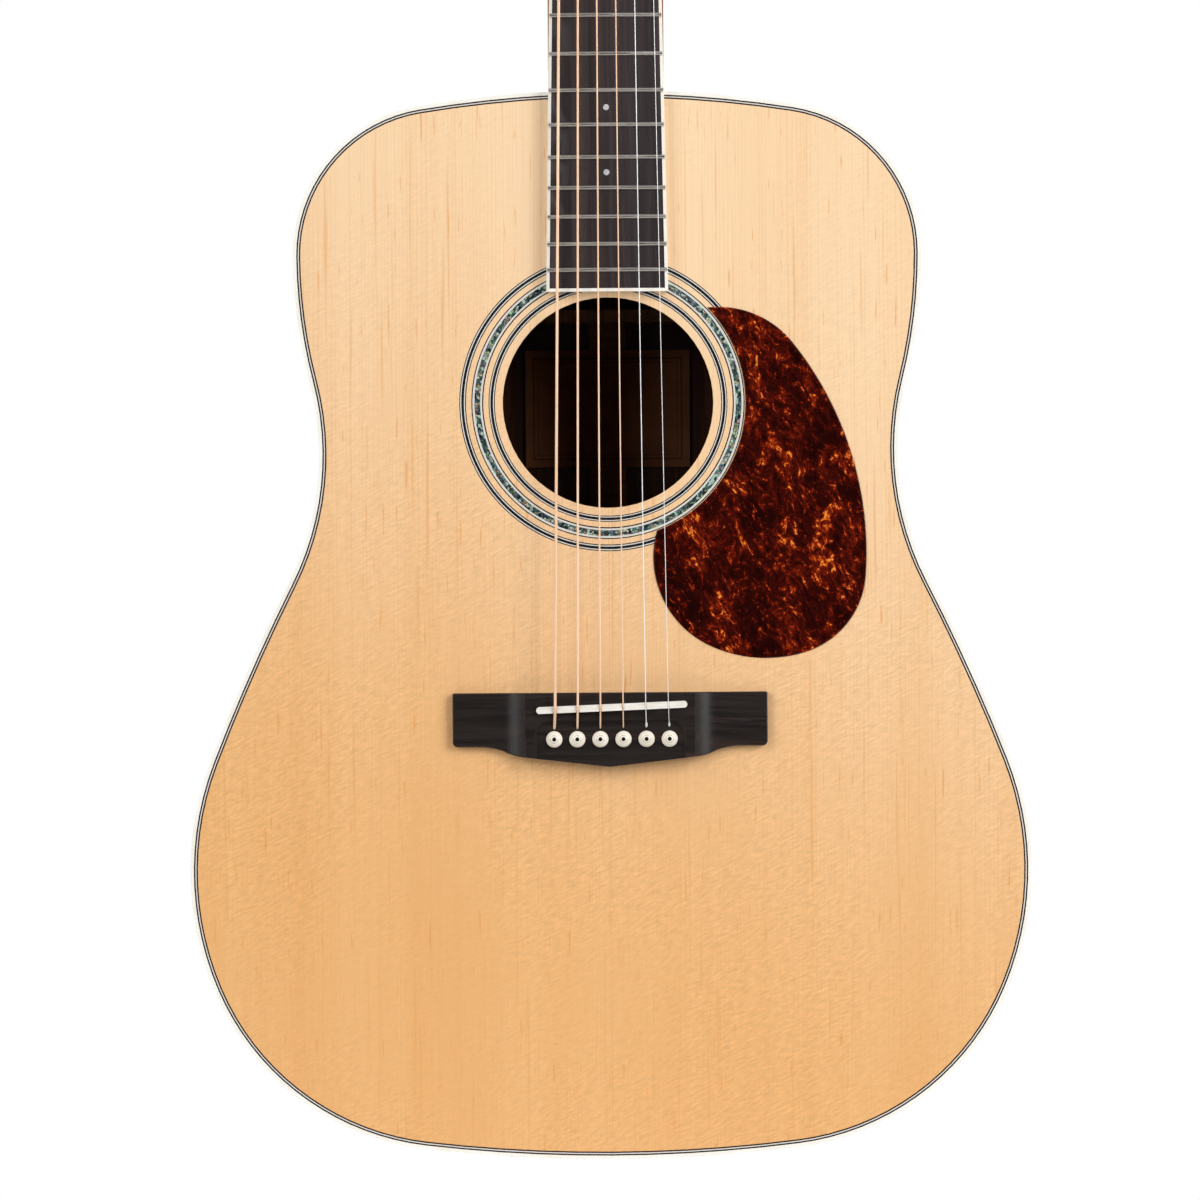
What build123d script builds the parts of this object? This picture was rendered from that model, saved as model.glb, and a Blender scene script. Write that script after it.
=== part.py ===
"""Six-string steel-string acoustic guitar with a 14-fret neck, built piece by piece.

Frame: X runs from the bass side to the treble side, the front faces -Y, and +Z runs
up the neck. The origin is on the centreline at the fingerboard's end of the nut, in
the plane of the soundboard's face, which is also where a hanger holds the neck.
Lengths are millimetres and angles are degrees.
"""
from build123d import *
import os
from math import acos, atan2, cos, degrees, pi, radians, sin, sqrt

# ---------------------------------------------------------------- driving dimensions
SCALE_LENGTH = 643.0
FRET_COUNT = 20
BODY_JOINT_FRET = 14

# Body outline, from the middle of the tail round the treble side: (radius, degrees).
# A positive radius bulges out, a negative one is the waist. A last arc closes it.
BODY_LENGTH = 500.8
BODY_ARCS = [
    (726.0, 6.9),
    (122.8, 60.2),
    (143.3, 44.2),
    (933.0, 5.6),
    (-134.1, 41.2),
    (243.1, 14.1),
    (70.6, 81.1),
]
DEPTH_AT_NECK = 103.0
DEPTH_AT_TAIL = 121.0
BACK_ARCH_RADIUS = 4000.0
BODY_BLANK_DEPTH = 140.0

SOUNDBOARD_T = 2.8
BACK_T = 2.8
SIDE_T = 2.3
BINDING_W = 1.6
BINDING_H = 6.0
PURFLING_WIDTHS = (0.7, 0.5, 0.7)
PURFLING_DEPTH = 1.4
END_GRAFT_HALF_WIDTHS = (7.0, 13.0)
BLOCK_HALF_WIDTH = 38.0
NECK_BLOCK_LENGTH = 44.0
TAIL_BLOCK_LENGTH = 22.0
LINING_W = 5.2
LINING_H = 13.0

BRACE_GAP = 0.4
BRACE_END_H = 4.0
BRACE_TAPER = 45.0
X_BRACE = {"z": -583.0, "angle": 40.5, "length": 430.0, "width": 8.0, "height": 15.0}
X_LAP_DEPTH = 7.5
# Each bar: x, z, angle, length, width, height.
UPPER_BAR = (0, -431, 0, 250, 9, 12)
TONE_BARS = [(-18, -718, -24, 150, 7, 12), (-30, -768, -24, 130, 7, 12)]
# Bars in mirrored pairs, given for the treble side.
PAIRED_BARS = [(95, -612, 49.5, 58, 6, 9), (138, -654, 49.5, 46, 6, 9), (61, -488.3, 90, 48, 6, 6)]
# Each back brace: height on the back, width, thickness.
BACK_BRACES = [(-457, 6, 14), (-560, 6, 14), (-668, 14, 9), (-770, 14, 9)]
BRIDGE_PLATE_T = 2.5
BRIDGE_PLATE_HALF = 52.0
BRIDGE_PLATE_Z = (-683.0, -638.0)
CENTRE_STRIP_HALF = 9.0
CENTRE_STRIP_T = 1.6
LABEL_HALF = 40.0
LABEL_Z = (-530.0, -473.0)
LABEL_T = 0.4

SOUNDHOLE_R = 49.3
SOUNDHOLE_BELOW_NUT = 502.3
ROSETTE_DEPTH = 1.2
# Each ring set: inner radius, then (width, colour) outwards.
ROSETTE_SETS = [
    (53.0, [(0.4, "black"), (0.45, "white"), (1.2, "black"), (0.45, "white"), (0.4, "black")]),
    (58.4, [(0.55, "black"), (0.85, "white"), (2.7, "abalone"), (0.95, "white"), (0.5, "black")]),
    (66.5, [(0.45, "black"), (0.5, "white"), (1.2, "black"), (0.5, "white"), (0.45, "black")]),
]

PICKGUARD_T = 0.6
PICKGUARD_INNER_R = 64.3
PICKGUARD_START = 43.4
PICKGUARD_HEADING = 6.5
PICKGUARD_ARCS = [(-44.5, 58.2), (-157.4, 42.6), (-40.4, 69.9), (-63.1, 39.6), (-46.0, 82.0)]

FINGERBOARD_T = 6.0
FINGERBOARD_LENGTH = 450.6
FINGERBOARD_RADIUS = 400.0
FINGERBOARD_BINDING_W = 1.5
WIDTH_AT_NUT = 43.0
WIDTH_AT_END = 57.0
FRET_W = 2.0
FRET_H = 1.1
FRET_TANG_W = 0.6
FRET_TANG_DEPTH = 1.8
DOT_R = 1.4
DOT_T = 1.2
SIDE_DOT_R = 0.9
SIDE_DOT_LENGTH = 0.8
DOT_FRETS = (3, 5, 7, 9, 12, 15, 17)
DOUBLE_DOT_FRET = 12
DOUBLE_DOT_SPREAD = 11.0

NUT_T = 6.0
NUT_TOP = 8.6

NECK_DEPTH_AT_NUT = 15.0
NECK_DEPTH_AT_HEEL = 17.5
HEEL_CAP_T = 2.4
HEEL_FRONT = 29.0
HEEL_CURVE_R = 34.0
HEEL_EDGE_R = 9.0
HEEL_WIDTH_AT_CAP = 27.0
HEEL_SINK = 4.0
BOLT_DEPTHS = (32.0, 68.0)
BOLT_R = 3.2
BOLT_HEAD_R = 6.2

TRUSS_Y = 6.4
TRUSS_ROD_R = 2.1
TRUSS_ROD_HALF_GAP = 2.3
TRUSS_LOW_Z = -336.0
TRUSS_STUD_R = 1.8
TRUSS_NUT_R = 3.4
TRUSS_NUT_Z = (9.0, 21.0)
TRUSS_SOCKET_R = 2.3
COVER_T = 1.8
COVER_SCREWS = ((-6.4, 5.5), (6.4, 5.5), (0.0, 29.5))

HEADSTOCK_TILT = 14.0
HEADSTOCK_T = 14.0
HEADSTOCK_ARCS = [(-40.0, 35.0), (25.0, 33.0), (0, 128.0), (11.0, 72.0)]
VENEER_T = 1.8
POST_ROWS = (44.0, 84.0, 124.0)
POST_X = 25.5

BRIDGE_T = 8.6
BRIDGE_HALF = 73.65
BRIDGE_TOP_Z = -637.9
BRIDGE_BELLY_Z = -672.6
BRIDGE_EDGE_R = 0.6
BLOCK_HALF = 39.5
WING_T = 3.9
WING_COVE_R = 14.0
RECESS_HALF = 35.5
RECESS_TOP_Z = -650.2
RECESS_CORNER_R = 8.0
RECESS_DEPTH = 1.6
RECESS_SLOPE_W = 1.3
SADDLE_LENGTH = 70.5
SADDLE_T = 3.2
SADDLE_TILT = 2.15
SADDLE_Z = -644.8
SADDLE_SLOT_DEPTH = 6.0
SADDLE_CREST = 11.8
STRING_SHIFT = 0.8

PIN_SPACING = 10.77
PIN_Z = -659.6
PIN_LENGTH = 25.0
PIN_R = 2.55
PIN_TIP_R = 2.15
PIN_CLEARANCE = 0.06
PIN_HEAD_R = 3.8
PIN_HEAD_H = 3.2

# Strings 6 (low E) to 1 (high E): diameters, and how many are wound.
STRING_DIAMETERS = (1.35, 1.07, 0.81, 0.61, 0.41, 0.30)
WOUND_COUNT = 4
NUT_SPREAD = 36.0
SADDLE_SPREAD = 52.8
STRING_HEIGHT_AT_NUT = 7.6
STRING_CLEARANCE = 0.08
STRING_PASSAGE = 0.25
STRING_BENDS = [2.2, 4.0, 12.0]
BALL_R = 1.9
BALL_LENGTH = 3.6

POST_R = 3.0
POST_WAIST_R = 2.4
POST_TOP = -16.2
STRING_HOLE_Y = -11.5
STRING_HOLE_R = 0.8
WASHER_T = 0.8
SLEEVE_R = 4.9
GEAR_TEETH = 14
GEAR_MODULE = 0.7
GEAR_T = 2.4
GEAR_Y = 18.6
GEAR_HUB_R = 2.0
WORM_PITCH_R = 2.2
WORM_PHASE = 90.0
SHAFT_R = 2.0
HOUSING_BACK = 25.0
EAR_T = 1.6
EAR_SCREW_Z = -13.2
BOSS_START = 10.5
BOSS_END = 15.5
BUTTON_START = 18.0
BUTTON_LENGTH = 14.0
BUTTON_WIDTH = 20.0
BUTTON_T = 7.6
SCREW_R = 0.9
SCREW_HEAD_R = 1.9
RUN_GAP = 0.05


# ------------------------------------------------------------------------- helpers
def fret_z(number):
    """Height of a fret below the nut, by equal temperament."""
    return -SCALE_LENGTH * (1 - 2 ** (-number / 12))


BODY_TOP_Z = fret_z(BODY_JOINT_FRET) + 1.0
TAIL_Z = BODY_TOP_Z - BODY_LENGTH
HOLE_Z = -SOUNDHOLE_BELOW_NUT
HEAD = Location((0, 0, NUT_T), (-HEADSTOCK_TILT, 0, 0))
GEAR_PITCH_R = GEAR_TEETH * GEAR_MODULE / 2
WORM_PITCH = pi * GEAR_MODULE
WORM_UP = GEAR_PITCH_R + WORM_PITCH_R
STANDING = (Align.CENTER, Align.CENTER, Align.MIN)


def at(x, z, y=0.0):
    """A point given by its place in front view and its depth."""
    return Vector(x, y, z)


def arc_chain(start, heading, turns, inset=0.0):
    """Edges of tangent arcs in front view, then the end point and heading.

    A turn is (radius, degrees), left if the radius is positive, or (0, length)
    for a straight. inset moves the whole chain to its left.
    """
    x, z = start
    x -= inset * sin(radians(heading))
    z += inset * cos(radians(heading))
    edges = []
    for radius, amount in turns:
        here = at(x, z)
        if radius == 0:
            x += amount * cos(radians(heading))
            z += amount * sin(radians(heading))
            edges.append(Edge.make_line(here, at(x, z)))
            continue
        reach = radius - inset
        side = 1 if radius > 0 else -1
        centre_x = x - reach * sin(radians(heading))
        centre_z = z + reach * cos(radians(heading))
        half = radians(heading + side * amount / 2)
        middle = at(centre_x + reach * sin(half), centre_z - reach * cos(half))
        heading += side * amount
        x = centre_x + reach * sin(radians(heading))
        z = centre_z - reach * cos(radians(heading))
        edges.append(Edge.make_three_point_arc(here, middle, at(x, z)))
    return edges, (x, z), heading


def closing_arc(point, heading):
    """The arc that ends a right-hand half outline square on the centreline."""
    x, z = point
    radius = x / sin(radians(heading))
    centre_z = z + radius * cos(radians(heading))
    half = radians((heading + 180) / 2)
    middle = at(radius * sin(half), centre_z - radius * cos(half))
    return Edge.make_three_point_arc(at(x, z), middle, at(0, centre_z + radius))


def mirrored_face(edges):
    """Face of a right-hand half outline and its mirror image."""
    return make_face(edges + [edge.mirror(Plane.YZ) for edge in edges])


def prism(face, front, back):
    """Extrude a front-view face from depth front to depth back."""
    return extrude(face.moved(Location((0, front, 0))), amount=back - front, dir=(0, 1, 0))


def body_face(inset=0.0):
    """Face of the body's outline, moved inwards by inset."""
    edges, end, heading = arc_chain((0, TAIL_Z), 0.0, BODY_ARCS, inset)
    return mirrored_face(edges + [closing_arc(end, heading)])


def body_prism(inset, front, back):
    return prism(body_face(inset), front, back)


def body_ring(outer, inner, front, back):
    return body_prism(outer, front, back) - body_prism(inner, front, back)


def block(x, y, z):
    """Box from its limits on each axis."""
    size = [high - low for low, high in (x, y, z)]
    centre = [(high + low) / 2 for low, high in (x, y, z)]
    return Pos(*centre) * Box(*size)


def within_back(inset):
    """The large tilted cylinder whose wall is the back's outer face, moved in."""
    tilt = degrees(atan2(DEPTH_AT_TAIL - DEPTH_AT_NECK, BODY_LENGTH))
    middle = (0, (DEPTH_AT_NECK + DEPTH_AT_TAIL) / 2, (BODY_TOP_Z + TAIL_Z) / 2)
    place = Location(middle, (tilt, 0, 0)) * Pos(0, -BACK_ARCH_RADIUS, 0)
    return place * Cylinder(BACK_ARCH_RADIUS - inset, 2 * BODY_LENGTH)


def ring(r_in, r_out, depth):
    """Flat ring round the soundhole, let into the soundboard's face."""
    ring_2d = Circle(r_out) - Circle(r_in)
    return extrude(Location((0, 0, HOLE_Z), (90, 0, 0)) * ring_2d, amount=depth, dir=(0, 1, 0))


def front_cylinder(x, z, radius, front, back):
    """Cylinder along the depth axis."""
    place = Location((x, (front + back) / 2, z), (90, 0, 0))
    return place * Cylinder(radius, back - front)


def fingerboard_half_width(z):
    return (WIDTH_AT_NUT + (WIDTH_AT_END - WIDTH_AT_NUT) * -z / FINGERBOARD_LENGTH) / 2


def dome_arc(radius, base, height):
    """Arc of a spherical cap from its rim to its top on the Y axis."""
    rise = height - base
    ball = (radius**2 + rise**2) / (2 * rise)
    half = atan2(radius, ball - rise) / 2
    middle = (ball * sin(half), height - ball + ball * cos(half))
    return Edge.make_three_point_arc((radius, base), middle, (0, height))


def string_ratio(index):
    """Place of a string across the set, from -0.5 on the bass side to 0.5."""
    return index / (len(STRING_DIAMETERS) - 1) - 0.5


nodes = {}


# ---------------------------------------------------------------------------- body
def make_rosette():
    """Concentric inlaid lines and one shell ring, sorted by colour."""
    rings = {"black": [], "white": [], "abalone": []}
    for radius, layers in ROSETTE_SETS:
        for width, colour in layers:
            rings[colour].append(ring(radius, radius + width, ROSETTE_DEPTH))
            radius += width
    for colour, solids in rings.items():
        nodes["rosette_" + colour] = solids


def rosette_channels():
    return [
        ring(radius, radius + sum(width for width, _ in layers), ROSETTE_DEPTH)
        for radius, layers in ROSETTE_SETS
    ]


def make_rim():
    """Sides, bindings, purfling lines, linings, end blocks and end graft."""
    front_binding = body_ring(0, BINDING_W, 0, BINDING_H)
    outer_wall = body_ring(0, BINDING_W, 0, BODY_BLANK_DEPTH)
    back_binding = (outer_wall & within_back(0)) - within_back(BINDING_H)
    nodes["binding"] = [front_binding, back_binding]

    inset = BINDING_W
    lines = []
    for width in PURFLING_WIDTHS:
        lines.append(body_ring(inset, inset + width, 0, PURFLING_DEPTH))
        inset += width
    nodes["purfling_black"] = [lines[0], lines[2]]
    nodes["purfling_white"] = [lines[1]]

    wall = body_ring(0, SIDE_T, SOUNDBOARD_T, BODY_BLANK_DEPTH) & within_back(BACK_T)
    wall = wall - front_binding - back_binding - neck_bolt_holes()
    near, far = END_GRAFT_HALF_WIDTHS
    wedge = make_face(
        Polyline((-near, -1), (near, -1), (far, BODY_BLANK_DEPTH), (-far, BODY_BLANK_DEPTH), close=True)
    )
    wedge = Pos(0, 0, TAIL_Z - 5) * extrude(wedge, amount=15)
    nodes["end_graft"] = [wall & wedge]
    wall = wall - wedge
    span = (-BODY_LENGTH, 0)
    tall = (TAIL_Z - 10, BODY_TOP_Z + 10)
    deep = (-5, BODY_BLANK_DEPTH)
    nodes["side_bass"] = [wall & block(span, deep, tall)]
    nodes["side_treble"] = [wall & block((0, BODY_LENGTH), deep, tall)]

    cavity = body_prism(SIDE_T, SOUNDBOARD_T, BODY_BLANK_DEPTH) & within_back(BACK_T)
    middle = (-BLOCK_HALF_WIDTH, BLOCK_HALF_WIDTH)
    neck_end = block(middle, deep, (BODY_TOP_Z - NECK_BLOCK_LENGTH, BODY_TOP_Z + 10))
    tail_end = block(middle, deep, (TAIL_Z - 10, TAIL_Z + TAIL_BLOCK_LENGTH))
    nodes["neck_block"] = [(cavity & neck_end) - neck_bolt_holes()]
    nodes["tail_block"] = [cavity & tail_end]

    strip = cavity - body_prism(SIDE_T + LINING_W, 0, BODY_BLANK_DEPTH) - neck_end - tail_end
    front_strip = strip & block((-300, 300), (0, SOUNDBOARD_T + LINING_H), tall)
    back_strip = strip - within_back(BACK_T + LINING_H)
    nodes["linings"] = front_strip.solids() + back_strip.solids()


def make_soundboard():
    board = body_prism(BINDING_W, 0, SOUNDBOARD_T)
    purfling_end = BINDING_W + sum(PURFLING_WIDTHS)
    board -= body_ring(BINDING_W, purfling_end, 0, PURFLING_DEPTH)
    board -= front_cylinder(0, HOLE_Z, SOUNDHOLE_R, -1, SOUNDBOARD_T + 1)
    for channel in rosette_channels():
        board -= channel
    nodes["soundboard"] = [board - pin_bores() - string_passages()]


def make_back():
    """Arched back plate, its ladder braces, the seam strip and a plain label."""
    shell = within_back(0) - within_back(BACK_T)
    nodes["back_plate"] = [body_prism(BINDING_W, 50, BODY_BLANK_DEPTH) & shell]

    free = body_prism(SIDE_T + LINING_W + BRACE_GAP, 40, BODY_BLANK_DEPTH)
    braces = []
    for z, width, height in BACK_BRACES:
        bar = block((-200, 200), (40, BODY_BLANK_DEPTH), (z - width / 2, z + width / 2))
        layer = within_back(BACK_T) - within_back(BACK_T + height)
        braces.append(bar & layer & free)
    nodes["back_braces"] = braces

    strip = block(
        (-CENTRE_STRIP_HALF, CENTRE_STRIP_HALF),
        (40, BODY_BLANK_DEPTH),
        (TAIL_Z + TAIL_BLOCK_LENGTH + 1, BODY_TOP_Z - NECK_BLOCK_LENGTH - 1),
    )
    under_strip = BACK_T + CENTRE_STRIP_T
    strip = strip & (within_back(BACK_T) - within_back(under_strip))
    for brace in braces:
        strip -= brace
    nodes["back_centre_strip"] = strip.solids()

    label = block((-LABEL_HALF, LABEL_HALF), (40, BODY_BLANK_DEPTH), LABEL_Z)
    paste = within_back(under_strip) - within_back(under_strip + LABEL_T)
    nodes["soundhole_label"] = [label & paste]


def bar_brace(x, z, angle, length, width, height):
    """A soundboard brace, tapered to thin ends, on the soundboard's inner face."""
    end_height = min(BRACE_END_H, height)
    taper = min(BRACE_TAPER, length / 3)
    half = length / 2
    profile = make_face(
        Polyline(
            (-half, 0),
            (half, 0),
            (half, end_height),
            (half - taper, height),
            (-half + taper, height),
            (-half, end_height),
            close=True,
        )
    )
    bar = extrude(profile, amount=width / 2, both=True)
    return Location((x, SOUNDBOARD_T, z), (0, -angle, 0)) * bar


def make_braces():
    """X brace with its half-lap, tone bars, finger braces and bridge plate."""
    free = body_prism(SIDE_T + LINING_W + BRACE_GAP, 0, 60)
    cross_z = X_BRACE["z"]
    size = (X_BRACE["length"], X_BRACE["width"], X_BRACE["height"])
    legs = [bar_brace(0, cross_z, sign * X_BRACE["angle"], *size) & free for sign in (1, -1)]
    overlap = legs[0] & legs[1]
    lap_depth = SOUNDBOARD_T + X_LAP_DEPTH
    front_half = overlap & block((-50, 50), (0, lap_depth), (cross_z - 50, cross_z + 50))
    back_half = overlap & block((-50, 50), (lap_depth, 60), (cross_z - 50, cross_z + 50))
    nodes["x_brace"] = [legs[0] - front_half, legs[1] - back_half]

    bars = [bar_brace(*UPPER_BAR)] + [bar_brace(*bar) for bar in TONE_BARS]
    for x, z, angle, *size in PAIRED_BARS:
        bars += [bar_brace(side * x, z, side * angle, *size) for side in (-1, 1)]
    nodes["top_braces"] = [bar & free for bar in bars]

    plate = block(
        (-BRIDGE_PLATE_HALF, BRIDGE_PLATE_HALF),
        (SOUNDBOARD_T, SOUNDBOARD_T + BRIDGE_PLATE_T),
        BRIDGE_PLATE_Z,
    )
    nodes["bridge_plate"] = [plate - pin_bores() - string_passages()]


def make_pickguard():
    """Teardrop plate whose inner edge follows the rosette."""
    start_x = PICKGUARD_INNER_R * cos(radians(PICKGUARD_START))
    start_z = PICKGUARD_INNER_R * sin(radians(PICKGUARD_START))
    edges, end, _ = arc_chain((start_x, start_z), PICKGUARD_HEADING, PICKGUARD_ARCS)
    end_angle = degrees(atan2(end[1], end[0]))
    middle = radians((PICKGUARD_START + end_angle) / 2)
    inner = at(PICKGUARD_INNER_R * cos(middle), PICKGUARD_INNER_R * sin(middle))
    edges.append(Edge.make_three_point_arc(at(*end), inner, at(start_x, start_z)))
    plate = prism(make_face(edges).moved(Location((0, 0, HOLE_Z))), -PICKGUARD_T, 0)
    front = plate.faces().sort_by(Axis.Y)[0]
    nodes["pickguard"] = [chamfer(front.edges(), 0.35)]


# -------------------------------------------------------------------------- bridge
def bridge_face():
    turns = [
        (0, 41.4),
        (22.6, 18.5),
        (-30.0, 25.0),
        (0, BRIDGE_HALF - 2.3 - 60.82),
        (2.3, 90),
        (0, 22.1),
        (0.8, 90),
    ]
    edges, end, _ = arc_chain((0, BRIDGE_BELLY_Z), 6.5, turns)
    edges.append(Edge.make_line(at(*end), at(0, end[1])))
    return mirrored_face(edges)


def pin_x(index):
    return (index - 2.5) * PIN_SPACING + STRING_SHIFT


def pin_bore(index):
    """Tapered bore through bridge, soundboard and plate, a running fit on its pin."""
    length = PIN_LENGTH + 4
    slope = (PIN_R - PIN_TIP_R) / PIN_LENGTH
    deep_r = PIN_R + PIN_CLEARANCE - slope * length
    cone = Cone(deep_r, PIN_R + PIN_CLEARANCE, length)
    return Location((pin_x(index), pin_seat() + length / 2, PIN_Z), (90, 0, 0)) * cone


def pin_seat():
    """Depth of the bridge's face under the pin heads."""
    return -(BRIDGE_T - RECESS_DEPTH)


def pin_bores():
    return [pin_bore(index) for index in range(len(STRING_DIAMETERS))]


def saddle_frame():
    return Location((STRING_SHIFT, 0, SADDLE_Z), (0, -SADDLE_TILT, 0))


def saddle_slot():
    outline = Location((0, 0, 0), (90, 0, 0)) * SlotOverall(SADDLE_LENGTH, SADDLE_T)
    bar = prism(outline, -BRIDGE_T - 10, -BRIDGE_T + SADDLE_SLOT_DEPTH)
    return saddle_frame() * bar


def wing_cut():
    """What is cut from the treble wing: a flat, and the cove that rises to the block."""
    drop = BRIDGE_T - WING_T
    sweep_angle = acos((WING_COVE_R - drop) / WING_COVE_R)
    flat_x = BLOCK_HALF + WING_COVE_R * sin(sweep_angle)
    middle = (
        flat_x - WING_COVE_R * sin(sweep_angle / 2),
        -WING_T - WING_COVE_R * (1 - cos(sweep_angle / 2)),
    )
    high = -BRIDGE_T - 1
    outside = BRIDGE_HALF + 5
    cove = make_face(
        [
            Edge.make_line((BLOCK_HALF, high), (BLOCK_HALF, -BRIDGE_T)),
            Edge.make_three_point_arc((BLOCK_HALF, -BRIDGE_T), middle, (flat_x, -WING_T)),
            Edge.make_line((flat_x, -WING_T), (outside, -WING_T)),
            Edge.make_line((outside, -WING_T), (outside, high)),
            Edge.make_line((outside, high), (BLOCK_HALF, high)),
        ]
    )
    return Pos(0, 0, BRIDGE_BELLY_Z - 5) * extrude(cove, amount=60)


def pin_recess():
    """Sloped hollow round the pins, open through the belly's edge."""
    low_z = BRIDGE_BELLY_Z - 20
    centre_z = (low_z + RECESS_TOP_Z) / 2
    sections = []
    for y, inset in ((pin_seat(), RECESS_SLOPE_W), (-BRIDGE_T - 0.01, 0.0), (-BRIDGE_T - 3, 0.0)):
        width = 2 * (RECESS_HALF - inset)
        height = RECESS_TOP_Z - low_z - 2 * inset
        outline = RectangleRounded(width, height, RECESS_CORNER_R - inset)
        sections.append(Location((0, y, centre_z), (90, 0, 0)) * outline)
    return loft(sections, ruled=True)


def make_bridge():
    body = prism(bridge_face(), -BRIDGE_T, 0)
    cut = wing_cut()
    body = body - cut - cut.mirror(Plane.YZ)
    rims = [
        edge
        for edge in body.edges()
        if edge.bounding_box().max.Y < -WING_T + 0.01 and edge.geom_type != GeomType.LINE
        or edge.bounding_box().max.Y < -WING_T + 0.01 and abs((edge @ 1 - edge @ 0).X) > 0.1
    ]
    body = fillet(rims, BRIDGE_EDGE_R)
    body = body - pin_recess() - saddle_slot() - pin_bores() - string_passages()
    nodes["bridge"] = body.solids()[:1]


def make_saddle():
    """Bone saddle with a crown that follows the strings, in the bridge's slot."""
    blank = saddle_slot() & block((-50, 50), (-SADDLE_CREST, 0), (-700, -600))
    crown_r = FINGERBOARD_RADIUS
    crown = Pos(STRING_SHIFT, -SADDLE_CREST + crown_r, -650) * Cylinder(crown_r, 100)
    nodes["saddle"] = [(blank & crown) - string_passages()]


def make_pins():
    """Domed, collared and tapered bridge pins, one body each."""
    low = -PIN_LENGTH - PIN_TIP_R
    for index in range(len(STRING_DIAMETERS)):
        profile = make_face(
            [
                Edge.make_line((0, PIN_HEAD_H), (0, low)),
                Edge.make_three_point_arc(
                    (0, low),
                    (PIN_TIP_R * sin(pi / 4), -PIN_LENGTH - PIN_TIP_R * cos(pi / 4)),
                    (PIN_TIP_R, -PIN_LENGTH),
                ),
                Edge.make_line((PIN_TIP_R, -PIN_LENGTH), (PIN_R, 0)),
                Edge.make_line((PIN_R, 0), (PIN_HEAD_R - 0.2, 0)),
                Edge.make_line((PIN_HEAD_R - 0.2, 0), (PIN_HEAD_R, 0.3)),
                Edge.make_line((PIN_HEAD_R, 0.3), (PIN_HEAD_R, 1.0)),
                dome_arc(PIN_HEAD_R, 1.0, PIN_HEAD_H),
            ]
        )
        pin = Rot(180, 0, 0) * revolve(profile, Axis.Y)
        place = Pos(pin_x(index), pin_seat() - RUN_GAP, PIN_Z)
        nodes["bridge_pin_%d" % (len(STRING_DIAMETERS) - index)] = [place * pin]


# ----------------------------------------------------------- neck and fingerboard
def fingerboard_face(inset):
    """Tapered plan of the fingerboard, moved in from its sides and lower end."""
    end_z = -FINGERBOARD_LENGTH + inset
    nut_half = WIDTH_AT_NUT / 2 - inset
    end_half = fingerboard_half_width(end_z) - inset
    corners = [at(nut_half, 0), at(end_half, end_z), at(-end_half, end_z), at(-nut_half, 0)]
    return make_face(Polyline(*corners, close=True))


def under_crown(height):
    """Long cylinder whose wall is the fingerboard's crown at a height from Y = 0."""
    place = Pos(0, FINGERBOARD_RADIUS - height, -SCALE_LENGTH / 3)
    return place * Cylinder(FINGERBOARD_RADIUS, SCALE_LENGTH)


def fret_wire(number):
    """Crowned fret bent to the fingerboard's radius, with its tang."""
    z = fret_z(number)
    base = -FINGERBOARD_T
    crown = make_face(
        [
            Edge.make_line((0, base, z - FRET_W / 2), (0, base, z + FRET_W / 2)),
            Edge.make_three_point_arc(
                (0, base, z + FRET_W / 2),
                (0, base - FRET_H, z),
                (0, base, z - FRET_W / 2),
            ),
        ]
    )
    reach = degrees((fingerboard_half_width(z) - 0.4) / FINGERBOARD_RADIUS)
    axis = Axis((0, base + FINGERBOARD_RADIUS, 0), (0, 0, 1))
    return revolve(crown.rotate(axis, -reach), axis, 2 * reach)


def fret_tang(number):
    z = fret_z(number)
    half = fingerboard_half_width(z) - FINGERBOARD_BINDING_W - 0.2
    top = -FINGERBOARD_T
    thick = (z - FRET_TANG_W / 2, z + FRET_TANG_W / 2)
    slab = block((-half, half), (top, top + FRET_TANG_DEPTH), thick)
    return slab & under_crown(FINGERBOARD_T)


def dot_centres():
    """Front-view places of the position dots."""
    places = []
    for number in DOT_FRETS:
        z = (fret_z(number) + fret_z(number - 1)) / 2
        if number == DOUBLE_DOT_FRET:
            places += [(-DOUBLE_DOT_SPREAD, z), (DOUBLE_DOT_SPREAD, z)]
        else:
            places.append((0, z))
    return places


def make_fingerboard():
    crown = under_crown(FINGERBOARD_T)
    board = prism(fingerboard_face(FINGERBOARD_BINDING_W), -FINGERBOARD_T, 0) & crown
    edge = prism(fingerboard_face(0), -FINGERBOARD_T, 0) & crown
    edge = edge - prism(fingerboard_face(FINGERBOARD_BINDING_W), -FINGERBOARD_T - 1, 1)

    tangs = [fret_tang(number) for number in range(1, FRET_COUNT + 1)]
    wires = [fret_wire(number) for number in range(1, FRET_COUNT + 1)]
    board = board - tangs
    nodes["frets"] = [wire + tang for wire, tang in zip(wires, tangs)]

    dots = []
    for x, z in dot_centres():
        pocket = front_cylinder(x, z, DOT_R, -FINGERBOARD_T - 1, -FINGERBOARD_T + DOT_T)
        dots.append(pocket & crown)
        board = board - pocket
    nodes["position_dots"] = dots
    nodes["fingerboard"] = [board]

    side_dots = []
    for number in DOT_FRETS:
        z = (fret_z(number) + fret_z(number - 1)) / 2
        x = -fingerboard_half_width(z) + SIDE_DOT_LENGTH
        rod = Location((x, -FINGERBOARD_T / 2, z), (0, -90, 0))
        rod = rod * Cylinder(SIDE_DOT_R, 5, align=(Align.CENTER, Align.CENTER, Align.MIN))
        side_dots.append(rod & edge)
        edge = edge - rod
    nodes["side_dots"] = side_dots
    nodes["fingerboard_binding"] = [edge]


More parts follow.
